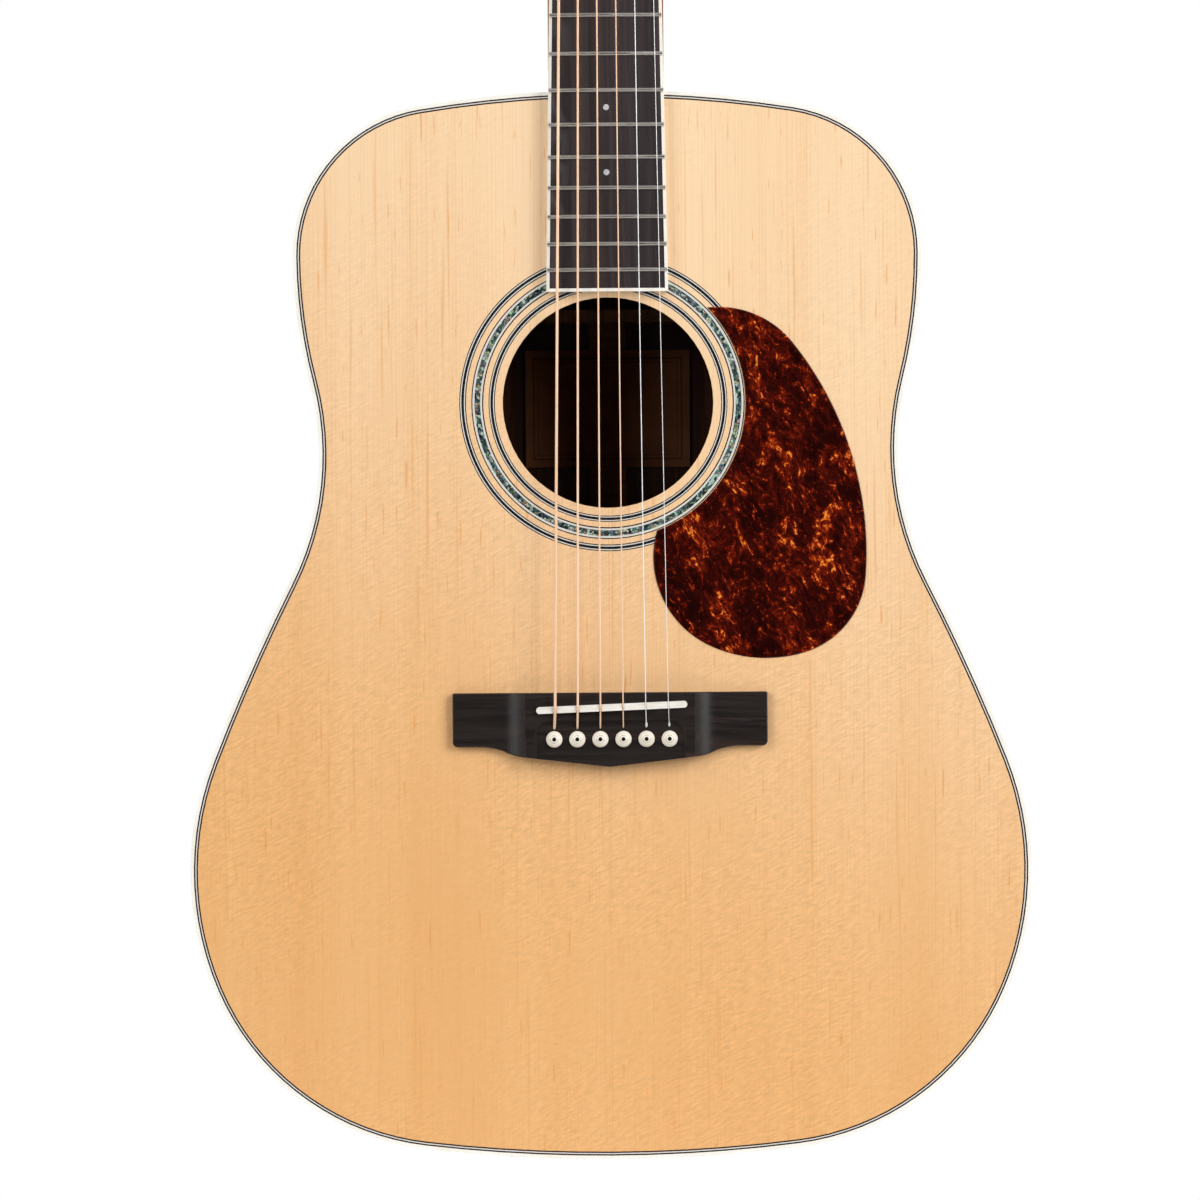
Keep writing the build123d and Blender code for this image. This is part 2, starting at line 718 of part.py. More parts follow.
def neck_section(width, depth, squareness):
    """Half-round neck section, with a strip in front that is planed off later."""
    spare = 2.0
    half = width / 2
    curve = []
    for step in range(13):
        turn = radians(15 * step)
        across = abs(cos(turn)) ** (2 / squareness) * half
        back = sin(turn) ** (2 / squareness) * depth if 0 < step < 12 else 0
        curve.append((across if step < 6 else -across, back))
    curve[6] = (0, depth)
    return make_face(
        [
            Edge.make_line((-half, -spare), (half, -spare)),
            Edge.make_line((half, -spare), (half, 0)),
            Edge.make_spline([Vector(*p) for p in curve], tangents=[(0, 1), (0, -1)]),
            Edge.make_line((-half, 0), (-half, -spare)),
        ]
    )


def headstock_face():
    edges, end, heading = arc_chain((WIDTH_AT_NUT / 2, 0), 90.0, HEADSTOCK_ARCS)
    base = Edge.make_line(at(0, 0), at(WIDTH_AT_NUT / 2, 0))
    return mirrored_face([base] + edges + [closing_arc(end, heading)])


def make_shaft():
    sections = []
    for z, depth, squareness in (
        (BODY_TOP_Z - HEEL_SINK, NECK_DEPTH_AT_HEEL, 2.9),
        (-300, NECK_DEPTH_AT_HEEL - 0.1, 2.7),
        (-150, 16.2, 2.3),
        (-30, NECK_DEPTH_AT_NUT, 2.2),
        (0, NECK_DEPTH_AT_NUT, 2.2),
    ):
        width = 2 * fingerboard_half_width(z)
        sections.append(Pos(0, 0, z) * neck_section(width, depth, squareness))
    return loft(sections)


def make_throat():
    """Blend from the shaft to the flat back of the headstock."""
    sections = [neck_section(WIDTH_AT_NUT, NECK_DEPTH_AT_NUT, 2.2)]
    for along, width, depth, squareness in (
        (12, 47.5, 14.4, 2.6),
        (26, 61.5, HEADSTOCK_T, 4.5),
        (38, 68.5, HEADSTOCK_T, 6.0),
    ):
        sections.append(HEAD * Pos(0, 0, along) * neck_section(width, depth, squareness))
    blend = loft(sections)
    outline = HEAD * prism(headstock_face(), -5, 30)
    below = block((-WIDTH_AT_NUT / 2, WIDTH_AT_NUT / 2), (-10, 30), (0, NUT_T + 2))
    return (blend & outline) + (blend & below)


def make_heel():
    """Heel under the neck's end: a curved front, flaring sides, rounded edges."""
    depth = DEPTH_AT_NECK - HEEL_CAP_T
    top = NECK_DEPTH_AT_HEEL - 0.6
    front_z = BODY_TOP_Z + HEEL_FRONT
    curve_start = (top, front_z + HEEL_CURVE_R)
    lean = radians(6)
    curve_mid = radians(42)
    centre = (top + HEEL_CURVE_R, front_z + HEEL_CURVE_R)
    arc_mid = (centre[0] - HEEL_CURVE_R * cos(curve_mid), centre[1] - HEEL_CURVE_R * sin(curve_mid))
    arc_end = (
        centre[0] - HEEL_CURVE_R * sin(lean),
        centre[1] - HEEL_CURVE_R * cos(lean),
    )
    cap_z = arc_end[1] - (depth - arc_end[0]) * sin(lean) / cos(lean)
    side = make_face(
        [
            Edge.make_line((0, 0, BODY_TOP_Z - HEEL_SINK), (0, 0, curve_start[1])),
            Edge.make_line((0, 0, curve_start[1]), (0, *curve_start)),
            Edge.make_three_point_arc((0, *curve_start), (0, *arc_mid), (0, *arc_end)),
            Edge.make_line((0, *arc_end), (0, depth, cap_z)),
            Edge.make_line((0, depth, cap_z), (0, depth, BODY_TOP_Z - HEEL_SINK)),
            Edge.make_line((0, depth, BODY_TOP_Z - HEEL_SINK), (0, 0, BODY_TOP_Z - HEEL_SINK)),
        ]
    )
    blank = extrude(side, amount=40, dir=(1, 0, 0), both=True)
    half = fingerboard_half_width(BODY_TOP_Z)
    cap_half = HEEL_WIDTH_AT_CAP / 2
    right = Edge.make_three_point_arc((half, 0), (half * 0.69, depth * 0.42), (cap_half, depth))
    tongue = make_face(
        [
            right,
            Edge.make_line((cap_half, depth), (-cap_half, depth)),
            right.mirror(Plane.YZ),
            Edge.make_line((-half, 0), (half, 0)),
        ]
    )
    tongue = Pos(0, 0, BODY_TOP_Z - HEEL_SINK) * extrude(tongue, amount=120)
    heel = blank & tongue
    corners = [
        edge
        for edge in heel.edges()
        if edge.center().Z > BODY_TOP_Z + 5
        and abs(edge.center().X) > 5
        and edge.bounding_box().size.Y > 8
        and edge.center().Y > NECK_DEPTH_AT_HEEL / 2 + 1
    ]
    return fillet(corners, HEEL_EDGE_R)


def neck_bolt(y):
    """Hex-headed bolt that draws the heel against the neck block."""
    low = BODY_TOP_Z - NECK_BLOCK_LENGTH - 2
    shank = Pos(0, y, low) * Cylinder(BOLT_R, 64, align=STANDING)
    head = Pos(0, y, low - 2) * extrude(RegularPolygon(BOLT_HEAD_R, 6), amount=4)
    return shank + head


def neck_bolt_holes():
    low = BODY_TOP_Z - NECK_BLOCK_LENGTH - 6
    return [Pos(0, y, low) * Cylinder(BOLT_R, 68, align=STANDING) for y in BOLT_DEPTHS]


def make_neck():
    shaft = make_shaft()
    face_plane = block((-60, 60), (-20, 0), (BODY_TOP_Z - 20, NUT_T))
    head_plane = HEAD * block((-60, 60), (-20, 0), (-10, 60))
    throat = make_throat() - block((-60, 60), (-20, 0), (-10, NUT_T)) - (
        head_plane - block((-60, 60), (-60, 60), (-60, NUT_T))
    )
    shaft = shaft - face_plane
    head = prism(headstock_face(), 0, HEADSTOCK_T) - block((-60, 60), (-1, 60), (-10, 34))
    back = head.faces().sort_by(Axis.Y)[-1]
    rims = [edge for edge in back.edges() if edge.center().Z > 34.5]
    head = HEAD * fillet(rims, 2.2)
    heel = make_heel() - body_prism(0, -5, BODY_BLANK_DEPTH)
    shaft = shaft - body_prism(0, -5, BODY_BLANK_DEPTH)
    neck = shaft + heel + throat + head
    neck = neck - neck_bolt_holes() - truss_channel()
    for place in tuner_places():
        neck = neck - place * drill(SLEEVE_R, -5, HEADSTOCK_T + 1)
        neck = neck - place * tuner_screw_hole()
    for hole in cover_screw_holes():
        neck = neck - hole
    nodes["neck"] = [neck]
    nodes["neck_bolts"] = [neck_bolt(y) for y in BOLT_DEPTHS]

    veneer = HEAD * prism(headstock_face(), -VENEER_T, 0)
    veneer = veneer - block((-60, 60), (-20, 20), (-20, NUT_T)) - truss_channel()
    for place in tuner_places():
        veneer = veneer - place * drill(SLEEVE_R, -5, HEADSTOCK_T + 1)
    for hole in cover_screw_holes():
        veneer = veneer - hole
    nodes["headstock_veneer"] = [veneer]

    cap = make_heel().faces().sort_by(Axis.Y)[-1]
    cap = extrude(cap, amount=HEEL_CAP_T, dir=(0, 1, 0)) - body_prism(0, -5, BODY_BLANK_DEPTH)
    nodes["heel_cap"] = [cap]


def make_nut():
    bone = block((-WIDTH_AT_NUT / 2, WIDTH_AT_NUT / 2), (-NUT_TOP, 0), (0, NUT_T))
    bone = fillet(bone.faces().sort_by(Axis.Y)[0].edges().filter_by(Axis.Z), 1.2)
    bone = bone & (Pos(0, 0, 3) * under_crown(NUT_TOP))
    for index, diameter in enumerate(STRING_DIAMETERS):
        x = string_ratio(index) * NUT_SPREAD
        half = diameter / 2 + STRING_CLEARANCE
        slot = block((x - half, x + half), (-20, -STRING_HEIGHT_AT_NUT - diameter / 2), (-1, 4))
        bone = bone - slot - string_tube(index, STRING_CLEARANCE)
    nodes["nut"] = [bone]


# ------------------------------------------------------------------------ truss rod
def truss_channel():
    """Routed channel under the fingerboard and the pocket behind the nut."""
    channel = block((-3, 3), (0, 11), (TRUSS_LOW_Z, NUT_T))
    pocket = block((-4.2, 4.2), (-6, 11), (NUT_T, 31))
    return [channel, pocket]


def make_truss_rod():
    """Double rod with end blocks, and the socket-headed nut that tightens it."""
    rods = [
        Pos(0, TRUSS_Y + offset, TRUSS_LOW_Z) * Cylinder(TRUSS_ROD_R, 4 - TRUSS_LOW_Z, align=STANDING)
        for offset in (-TRUSS_ROD_HALF_GAP, TRUSS_ROD_HALF_GAP)
    ]
    deep = (TRUSS_Y - 4.6, TRUSS_Y + 4.6)
    lower = block((-3, 3), deep, (TRUSS_LOW_Z, TRUSS_LOW_Z + 8))
    upper = block((-3, 3), deep, (0.5, 8.5))
    stud = Pos(0, TRUSS_Y, 8) * Cylinder(TRUSS_STUD_R, 8, align=STANDING)
    nodes["truss_rod"] = [lower + rods[0] + rods[1] + upper + stud]

    low, high = TRUSS_NUT_Z
    nut = Pos(0, TRUSS_Y, (low + high) / 2) * Cylinder(TRUSS_NUT_R, high - low)
    nut = chamfer(nut.edges().filter_by(GeomType.CIRCLE), 0.4)
    bore = Pos(0, TRUSS_Y, low - 1) * Cylinder(TRUSS_STUD_R + RUN_GAP, 9, align=STANDING)
    socket = Pos(0, TRUSS_Y, high - 3.5) * extrude(RegularPolygon(TRUSS_SOCKET_R, 6), amount=5)
    nodes["truss_rod_nut"] = [nut - bore - socket]


def cover_screw_holes():
    front = -VENEER_T - COVER_T - 1
    return [HEAD * front_cylinder(x, z, SCREW_R, front, 6) for x, z in COVER_SCREWS]


def make_truss_cover():
    turns = [(0, 7.7), (1.6, 97.0), (0, 20.5)]
    edges, end, heading = arc_chain((0, 2.4), 0.0, turns)
    face = mirrored_face(edges + [closing_arc(end, heading)])
    cover = prism(face, -VENEER_T - COVER_T, -VENEER_T)
    front = cover.faces().sort_by(Axis.Y)[0]
    cover = HEAD * chamfer(front.edges(), 0.5)
    nodes["truss_rod_cover"] = [cover - cover_screw_holes()]


# --------------------------------------------------------------------------- tuners
def tuner_places():
    """Post axes of strings 6 to 1, in the headstock's tilted frame."""
    bass = [HEAD * Pos(-POST_X, 0, row) for row in POST_ROWS]
    treble = [HEAD * Pos(POST_X, 0, row) for row in reversed(POST_ROWS)]
    return bass + treble


def drill(radius, front, back):
    return front_cylinder(0, 0, radius, front, back)


def tuner_screw_hole():
    return front_cylinder(0, EAR_SCREW_Z, SCREW_R, HEADSTOCK_T - 8, HEADSTOCK_T + 8)


def dome_screw(front_y, y_dir):
    """Small dome-headed wood screw along the depth axis, its head seated at front_y."""
    profile = make_face(
        [
            Edge.make_line((0, 0), (SCREW_HEAD_R, 0)),
            dome_arc(SCREW_HEAD_R, 0, 1.1),
            Edge.make_line((0, 1.1), (0, 0)),
        ]
    )
    head = revolve(profile, Axis.Y)
    slot = block((-2.5, 2.5), (0.7, 2), (-0.25, 0.25))
    shank = Location((0, -3.5, 0), (90, 0, 0)) * Cylinder(SCREW_R, 7)
    screw = head - slot + shank
    if y_dir < 0:
        screw = Rot(180, 0, 0) * screw
    return Pos(0, front_y, 0) * screw


def tuner_housing():
    """Sealed die-cast case with a gear pocket, worm bore, shaft boss and screw ear."""
    case = Pos(1.2, 0, 2.6) * Rot(90, 0, 0) * RectangleRounded(20.5, 24.0, 6.5)
    case = prism(case, HEADSTOCK_T, HOUSING_BACK)
    back = case.faces().sort_by(Axis.Y)[-1]
    case = fillet(back.edges(), 2.8)
    boss = Cylinder(3.7, BOSS_END - BOSS_START, align=STANDING)
    boss = Location((BOSS_START, GEAR_Y, WORM_UP), (0, 90, 0)) * boss
    ear = Pos(0, 0, EAR_SCREW_Z + 1.6) * Rot(90, 0, 0) * SlotOverall(9.0, 6.4, rotation=90)
    ear = prism(ear, HEADSTOCK_T, HEADSTOCK_T + EAR_T)
    case = case + boss + ear
    case = case - drill(GEAR_PITCH_R + 1.1, HEADSTOCK_T - 1, HOUSING_BACK - 2.6)
    worm_bore = Location((0.4, GEAR_Y, WORM_UP), (0, 90, 0)) * Cylinder(3.1, 15.6)
    exit_bore = Location((10, GEAR_Y, WORM_UP), (0, 90, 0)) * Cylinder(SHAFT_R + RUN_GAP, 20)
    return case - worm_bore - exit_bore - tuner_screw_hole()


def tuner_bushing():
    """Threaded sleeve with its hex head, and the washer under it."""
    seat = -VENEER_T - WASHER_T
    washer = drill(7.2, seat, -VENEER_T) - drill(SLEEVE_R, -20, 20)
    sleeve = drill(SLEEVE_R, seat, HEADSTOCK_T - 1)
    hexagon = Rot(90, 0, 0) * RegularPolygon(6.3, 6)
    head = prism(hexagon, seat - 2.8, seat)
    head = head & (Pos(0, 4.0 - VENEER_T, 0) * Sphere(9.6))
    return [(sleeve + head) - drill(POST_R + RUN_GAP, -20, 20), washer]


def string_post():
    """Waisted post with its string hole; the gear fits on its lower end."""
    gear_front, gear_back = GEAR_Y - GEAR_T / 2, GEAR_Y + GEAR_T / 2
    waist_top, waist_end = POST_TOP + 1.8, -7.2
    profile = make_face(
        [
            Edge.make_line((0, POST_TOP), (POST_R - 0.5, POST_TOP)),
            Edge.make_line((POST_R - 0.5, POST_TOP), (POST_R, POST_TOP + 0.5)),
            Edge.make_line((POST_R, POST_TOP + 0.5), (POST_R, waist_top)),
            Edge.make_three_point_arc(
                (POST_R, waist_top), (POST_WAIST_R, STRING_HOLE_Y), (POST_R, waist_end)
            ),
            Edge.make_line((POST_R, waist_end), (POST_R, gear_front)),
            Edge.make_line((POST_R, gear_front), (GEAR_HUB_R, gear_front)),
            Edge.make_line((GEAR_HUB_R, gear_front), (GEAR_HUB_R, gear_back)),
            Edge.make_line((GEAR_HUB_R, gear_back), (0, gear_back)),
            Edge.make_line((0, gear_back), (0, POST_TOP)),
        ]
    )
    hole = Location((0, STRING_HOLE_Y, 0), (0, 90, 0)) * Cylinder(STRING_HOLE_R, 10)
    return revolve(profile, Axis.Y) - hole


def gear_wheel():
    """Wheel with straight teeth, one of them pointing up at the worm."""
    root_r = GEAR_PITCH_R - 0.8
    tip_r = GEAR_PITCH_R + 0.4
    tooth = make_face(
        Polyline((-0.6, root_r - 0.4), (0.6, root_r - 0.4), (0.22, tip_r), (-0.22, tip_r), close=True)
    )
    disc = Circle(root_r)
    for number in range(GEAR_TEETH):
        disc = disc + Rot(0, 0, 360 / GEAR_TEETH * number) * tooth
    disc = disc - Circle(GEAR_HUB_R)
    wheel = extrude(disc, amount=GEAR_T / 2, both=True)
    screw = Pos(0, 0, -GEAR_T / 2 - 0.6) * Cylinder(3.1, 1.2)
    return [Location((0, GEAR_Y, 0), (90, 0, 0)) * solid for solid in (wheel, screw)]


def worm_and_button():
    """Worm with its thread, plain shaft and the oval button on its end."""
    turns_length = 9.9
    path = Helix(WORM_PITCH, turns_length, WORM_PITCH_R)
    tooth = make_face(
        Polyline((-0.7, -0.45), (0.55, -0.2), (0.55, 0.2), (-0.7, 0.45), close=True)
    )
    start = Plane(origin=path @ 0, x_dir=(1, 0, 0), z_dir=path % 0)
    thread = sweep(start * tooth, path, is_frenet=True)
    core = Pos(0, 0, -2.2) * Cylinder(1.62, 14.6, align=STANDING)
    shaft = Pos(0, 0, 12.4) * Cylinder(SHAFT_R, BUTTON_START - 7.4, align=STANDING)
    worm = core + thread + shaft
    worm = Rot(0, 90, 0) * Rot(0, 0, WORM_PHASE) * worm
    worm = Pos(-5.0, GEAR_Y, WORM_UP) * worm

    oval = Rot(90, 0, 0) * Ellipse(BUTTON_LENGTH / 2, BUTTON_WIDTH / 2)
    button = prism(oval, -BUTTON_T / 2, BUTTON_T / 2)
    button = fillet(button.edges(), 2.6)
    button = Pos(BUTTON_START + BUTTON_LENGTH / 2 - 0.4, GEAR_Y, WORM_UP) * button
    neck_ring = Location((BUTTON_START - 0.9, GEAR_Y, WORM_UP), (0, 90, 0)) * Cylinder(3.2, 1.8)
    button = button + neck_ring
    return [worm - button, button]


def make_tuners():
    parts = {"housing": [], "bushing": [], "screw": []}
    post = string_post()
    wheel = gear_wheel()
    knob = worm_and_button()
    housing = tuner_housing()
    screw = Pos(0, 0, EAR_SCREW_Z) * dome_screw(HEADSTOCK_T + EAR_T, 1)
    for index, place in enumerate(tuner_places()):
        number = len(STRING_DIAMETERS) - index
        mirrored = index < 3

        def placed(solid):
            return place * (solid.mirror(Plane.YZ) if mirrored else solid)

        parts["housing"].append(placed(housing))
        parts["bushing"] += [placed(solid) for solid in tuner_bushing()]
        parts["screw"].append(placed(screw))
        nodes["string_post_%d" % number] = [placed(solid) for solid in [post] + wheel]
        nodes["tuner_button_%d" % number] = [placed(solid) for solid in knob]
    nodes["tuner_housings"] = parts["housing"]
    nodes["tuner_bushings"] = parts["bushing"]
    cover_screw = dome_screw(-VENEER_T - COVER_T, -1)
    parts["screw"] += [HEAD * Pos(x, 0, z) * cover_screw for x, z in COVER_SCREWS]
    nodes["headstock_screws"] = parts["screw"]


# -------------------------------------------------------------------------- strings
def string_points(index):
    """Ball end, pin hole, saddle, nut and post, for one string."""
    radius = STRING_DIAMETERS[index] / 2
    pin_side = PIN_Z + PIN_R + radius + 0.15
    saddle_x = string_ratio(index) * SADDLE_SPREAD
    saddle_z = SADDLE_Z + saddle_x * sin(radians(SADDLE_TILT))
    fall = saddle_x**2 / (2 * FINGERBOARD_RADIUS)
    nut_x = string_ratio(index) * NUT_SPREAD
    row = POST_ROWS[min(index, 5 - index)]
    inward = POST_WAIST_R + radius + 0.25
    post_x = (POST_X - inward) * (-1 if index < 3 else 1)
    post = (HEAD * Pos(post_x, STRING_HOLE_Y, row)).position
    return [
        Vector(pin_x(index), SOUNDBOARD_T + BRIDGE_PLATE_T, pin_side),
        Vector(pin_x(index), -5.2, pin_side),
        Vector(saddle_x + STRING_SHIFT, -SADDLE_CREST - radius - 0.15 + fall, saddle_z),
        Vector(nut_x, -STRING_HEIGHT_AT_NUT - radius, 2.0),
        post,
    ]


def string_tube(index, extra=0.0):
    """Solid of one string, or a slightly larger one to clear its way."""
    points = string_points(index)
    path = FilletPolyline(*points, radius=STRING_BENDS)
    start = Plane(origin=points[0], z_dir=points[1] - points[0])
    return sweep(start * Circle(STRING_DIAMETERS[index] / 2 + extra), path)


def string_passages():
    return [string_tube(index, STRING_PASSAGE) for index in range(len(STRING_DIAMETERS))]


def make_strings():
    tubes = [string_tube(index) for index in range(len(STRING_DIAMETERS))]
    nodes["strings_wound"] = tubes[:WOUND_COUNT]
    nodes["strings_plain"] = tubes[WOUND_COUNT:]
    balls = []
    for index in range(len(STRING_DIAMETERS)):
        y = SOUNDBOARD_T + BRIDGE_PLATE_T + BALL_R
        z = PIN_Z + PIN_R + BALL_R + 0.3
        place = Location((pin_x(index), y, z), (0, 90, 0))
        balls.append(place * (Cylinder(BALL_R, BALL_LENGTH) - Cylinder(0.8, 10)))
    nodes["string_ball_ends"] = balls


# --------------------------------------------------------------------------- output
def write_parts():
    os.makedirs("parts", exist_ok=True)
    for name, shapes in nodes.items():
        solids = [solid for shape in shapes for solid in shape.solids()]
        whole = solids[0] if len(solids) == 1 else Compound(children=solids)
        export_step(whole, "parts/%s.step" % name)


make_rosette()
make_rim()
make_soundboard()
make_back()
make_braces()
make_pickguard()
make_bridge()
make_saddle()
make_pins()
make_fingerboard()
make_neck()
make_nut()
make_truss_rod()
make_truss_cover()
make_tuners()
make_strings()
write_parts()
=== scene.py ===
import math

import bmesh
import bpy
from mathutils import Matrix, Vector


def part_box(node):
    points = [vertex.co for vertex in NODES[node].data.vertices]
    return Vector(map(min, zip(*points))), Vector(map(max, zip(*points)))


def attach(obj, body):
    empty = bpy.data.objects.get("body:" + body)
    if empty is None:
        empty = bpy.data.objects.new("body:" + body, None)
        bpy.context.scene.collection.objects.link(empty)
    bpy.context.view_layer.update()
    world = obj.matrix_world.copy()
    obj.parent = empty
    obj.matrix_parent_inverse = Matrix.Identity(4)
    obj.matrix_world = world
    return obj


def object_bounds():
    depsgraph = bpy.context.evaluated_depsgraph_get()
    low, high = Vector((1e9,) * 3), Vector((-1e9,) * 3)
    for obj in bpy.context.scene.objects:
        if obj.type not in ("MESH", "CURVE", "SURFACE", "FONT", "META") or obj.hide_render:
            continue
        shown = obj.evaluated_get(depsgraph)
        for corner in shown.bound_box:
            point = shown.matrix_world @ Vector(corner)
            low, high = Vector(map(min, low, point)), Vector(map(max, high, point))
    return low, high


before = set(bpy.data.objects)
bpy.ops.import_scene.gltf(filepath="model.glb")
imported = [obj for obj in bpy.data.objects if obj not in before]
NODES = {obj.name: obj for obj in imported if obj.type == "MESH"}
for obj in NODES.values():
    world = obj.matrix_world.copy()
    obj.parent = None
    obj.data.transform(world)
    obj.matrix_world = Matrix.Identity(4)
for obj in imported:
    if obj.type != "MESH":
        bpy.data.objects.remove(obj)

CAD_BOX = [list(corner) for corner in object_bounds()]
MM = 0.001

# Places the part's design gives, in metres: the row frame has its origin at the nut.
HEAD_TILT = math.radians(14.0)
HEAD_START = 6.0 * MM
POST_X = 25.5 * MM
POST_ROWS = (44.0 * MM, 84.0 * MM, 124.0 * MM)
STRING_DIAMETERS = tuple(d * MM for d in (1.35, 1.07, 0.81, 0.61, 0.41, 0.30))
STRING_HOLE_Y = -11.5 * MM
POST_WAIST_R = 2.4 * MM
PIN_DOME_R = 3.8 * MM
PIN_DOME_RISE = 2.2 * MM
HOLE_CENTRE_Z = -502.3 * MM
# The two plain strings' runs from pin to saddle, in millimetres, by the string's index.
STRING_AFTER_SADDLE = {
    4: ((16.955, -5.2, -656.695), (16.64, -11.841, -644.206)),
    5: ((27.725, -5.2, -656.75), (27.2, -11.229, -643.81)),
}

# This script's own small pieces, in metres.
WINDING_TURNS = 4.0
WINDING_HEIGHT = 3.9 * MM
WINDING_GAP = 0.06 * MM
WINDING_CLEARANCE = 0.04 * MM
WINDING_ABOVE_HOLE = 0.3 * MM
WINDING_STEPS = 28
TWIST_TURNS = 6
TWIST_WIRE_R = 0.13 * MM
TWIST_START = 2.6 * MM
TWIST_LENGTH = 2.6 * MM
TWIST_STEPS = 18
DOT_R = 1.0 * MM
EYELET_R = 1.85 * MM
EYELET_W = 0.16 * MM
LET_IN = 0.5 * MM
DOT_PROUD = 0.03 * MM
DOT_EDGE_DROP = 0.02 * MM
SCREW_PROUD = 0.9 * MM
# (radius, height) in millimetres, from the screw's underside to the dimple in its head.
SCREW_PROFILE = ((0, -1.2), (2.1, -1.2), (2.3, -0.9), (2.3, -0.45), (1.9, -0.12), (1.1, -0.03),
                 (0.5, -0.02), (0.4, -0.3), (0, -0.35))

# Patterns of the materials, in metres.
WRAP_PITCH = 0.34 * MM
LABEL_LINES = ((4.0 * MM, 0.45 * MM), (6.0 * MM, 0.2 * MM))
# Painted shade: the span, in metres down the body, over which the spruce is darkened towards the
# tail.
PAINTED_SHADE_SPAN = (-0.38, -0.80)
SILK_SPAN = (-0.40, -0.62)
SILK_SLANT = math.radians(24.0)

# Camera: the front of the body, square on, from the distance whose perspective the strings show.
CAMERA_DISTANCE = 2.5
CAMERA_AIM = Vector((-4.35 * MM, 0.0, -594.7 * MM))
CAMERA_FIELD = 561.6 * MM
CAMERA_ROLL = math.radians(-0.381)
SENSOR = 36.0

# Floor and surroundings. The floor fades out between two distances from the part's axis.
FLOOR_DROP = 0.12
FLOOR_RADIUS = 4.0
FLOOR_GREYS = (0.62, 0.66)
FLOOR_FADE = (0.30, 0.85)
FLOOR_GLOW = 0.05
WORLD_LIGHT = 0.55
WORLD_DARK = 0.015
# The surroundings darken between these cosines of the angle from straight behind the camera.
WORLD_DARK_SPAN = (0.55, 0.85)

# Area lights: name, place, width, height and power. All point at one place on the part.
LIGHT_AIM = (0.0, 0.0, -0.45)
LIGHTS = (
    ("key_right", (1.70, -1.60, 0.30), 1.2, 1.8, 46.5),
    ("fill_left", (-1.60, -1.70, 0.20), 1.4, 1.8, 28.0),
    ("back_left", (-1.7, 1.9, 0.7), 1.0, 1.4, 34.0),
    ("back_right", (1.6, 2.0, 0.4), 1.0, 1.4, 20.0),
)


def linear(channel):
    """One display channel, 0 to 255, as linear light."""
    value = channel / 255
    return value / 12.92 if value <= 0.04045 else ((value + 0.055) / 1.055) ** 2.4


def paint(red, green, blue):
    """A colour given by its display values."""
    return (linear(red), linear(green), linear(blue), 1.0)


def darker(colour, share):
    return tuple(channel * share for channel in colour[:3]) + (1.0,)


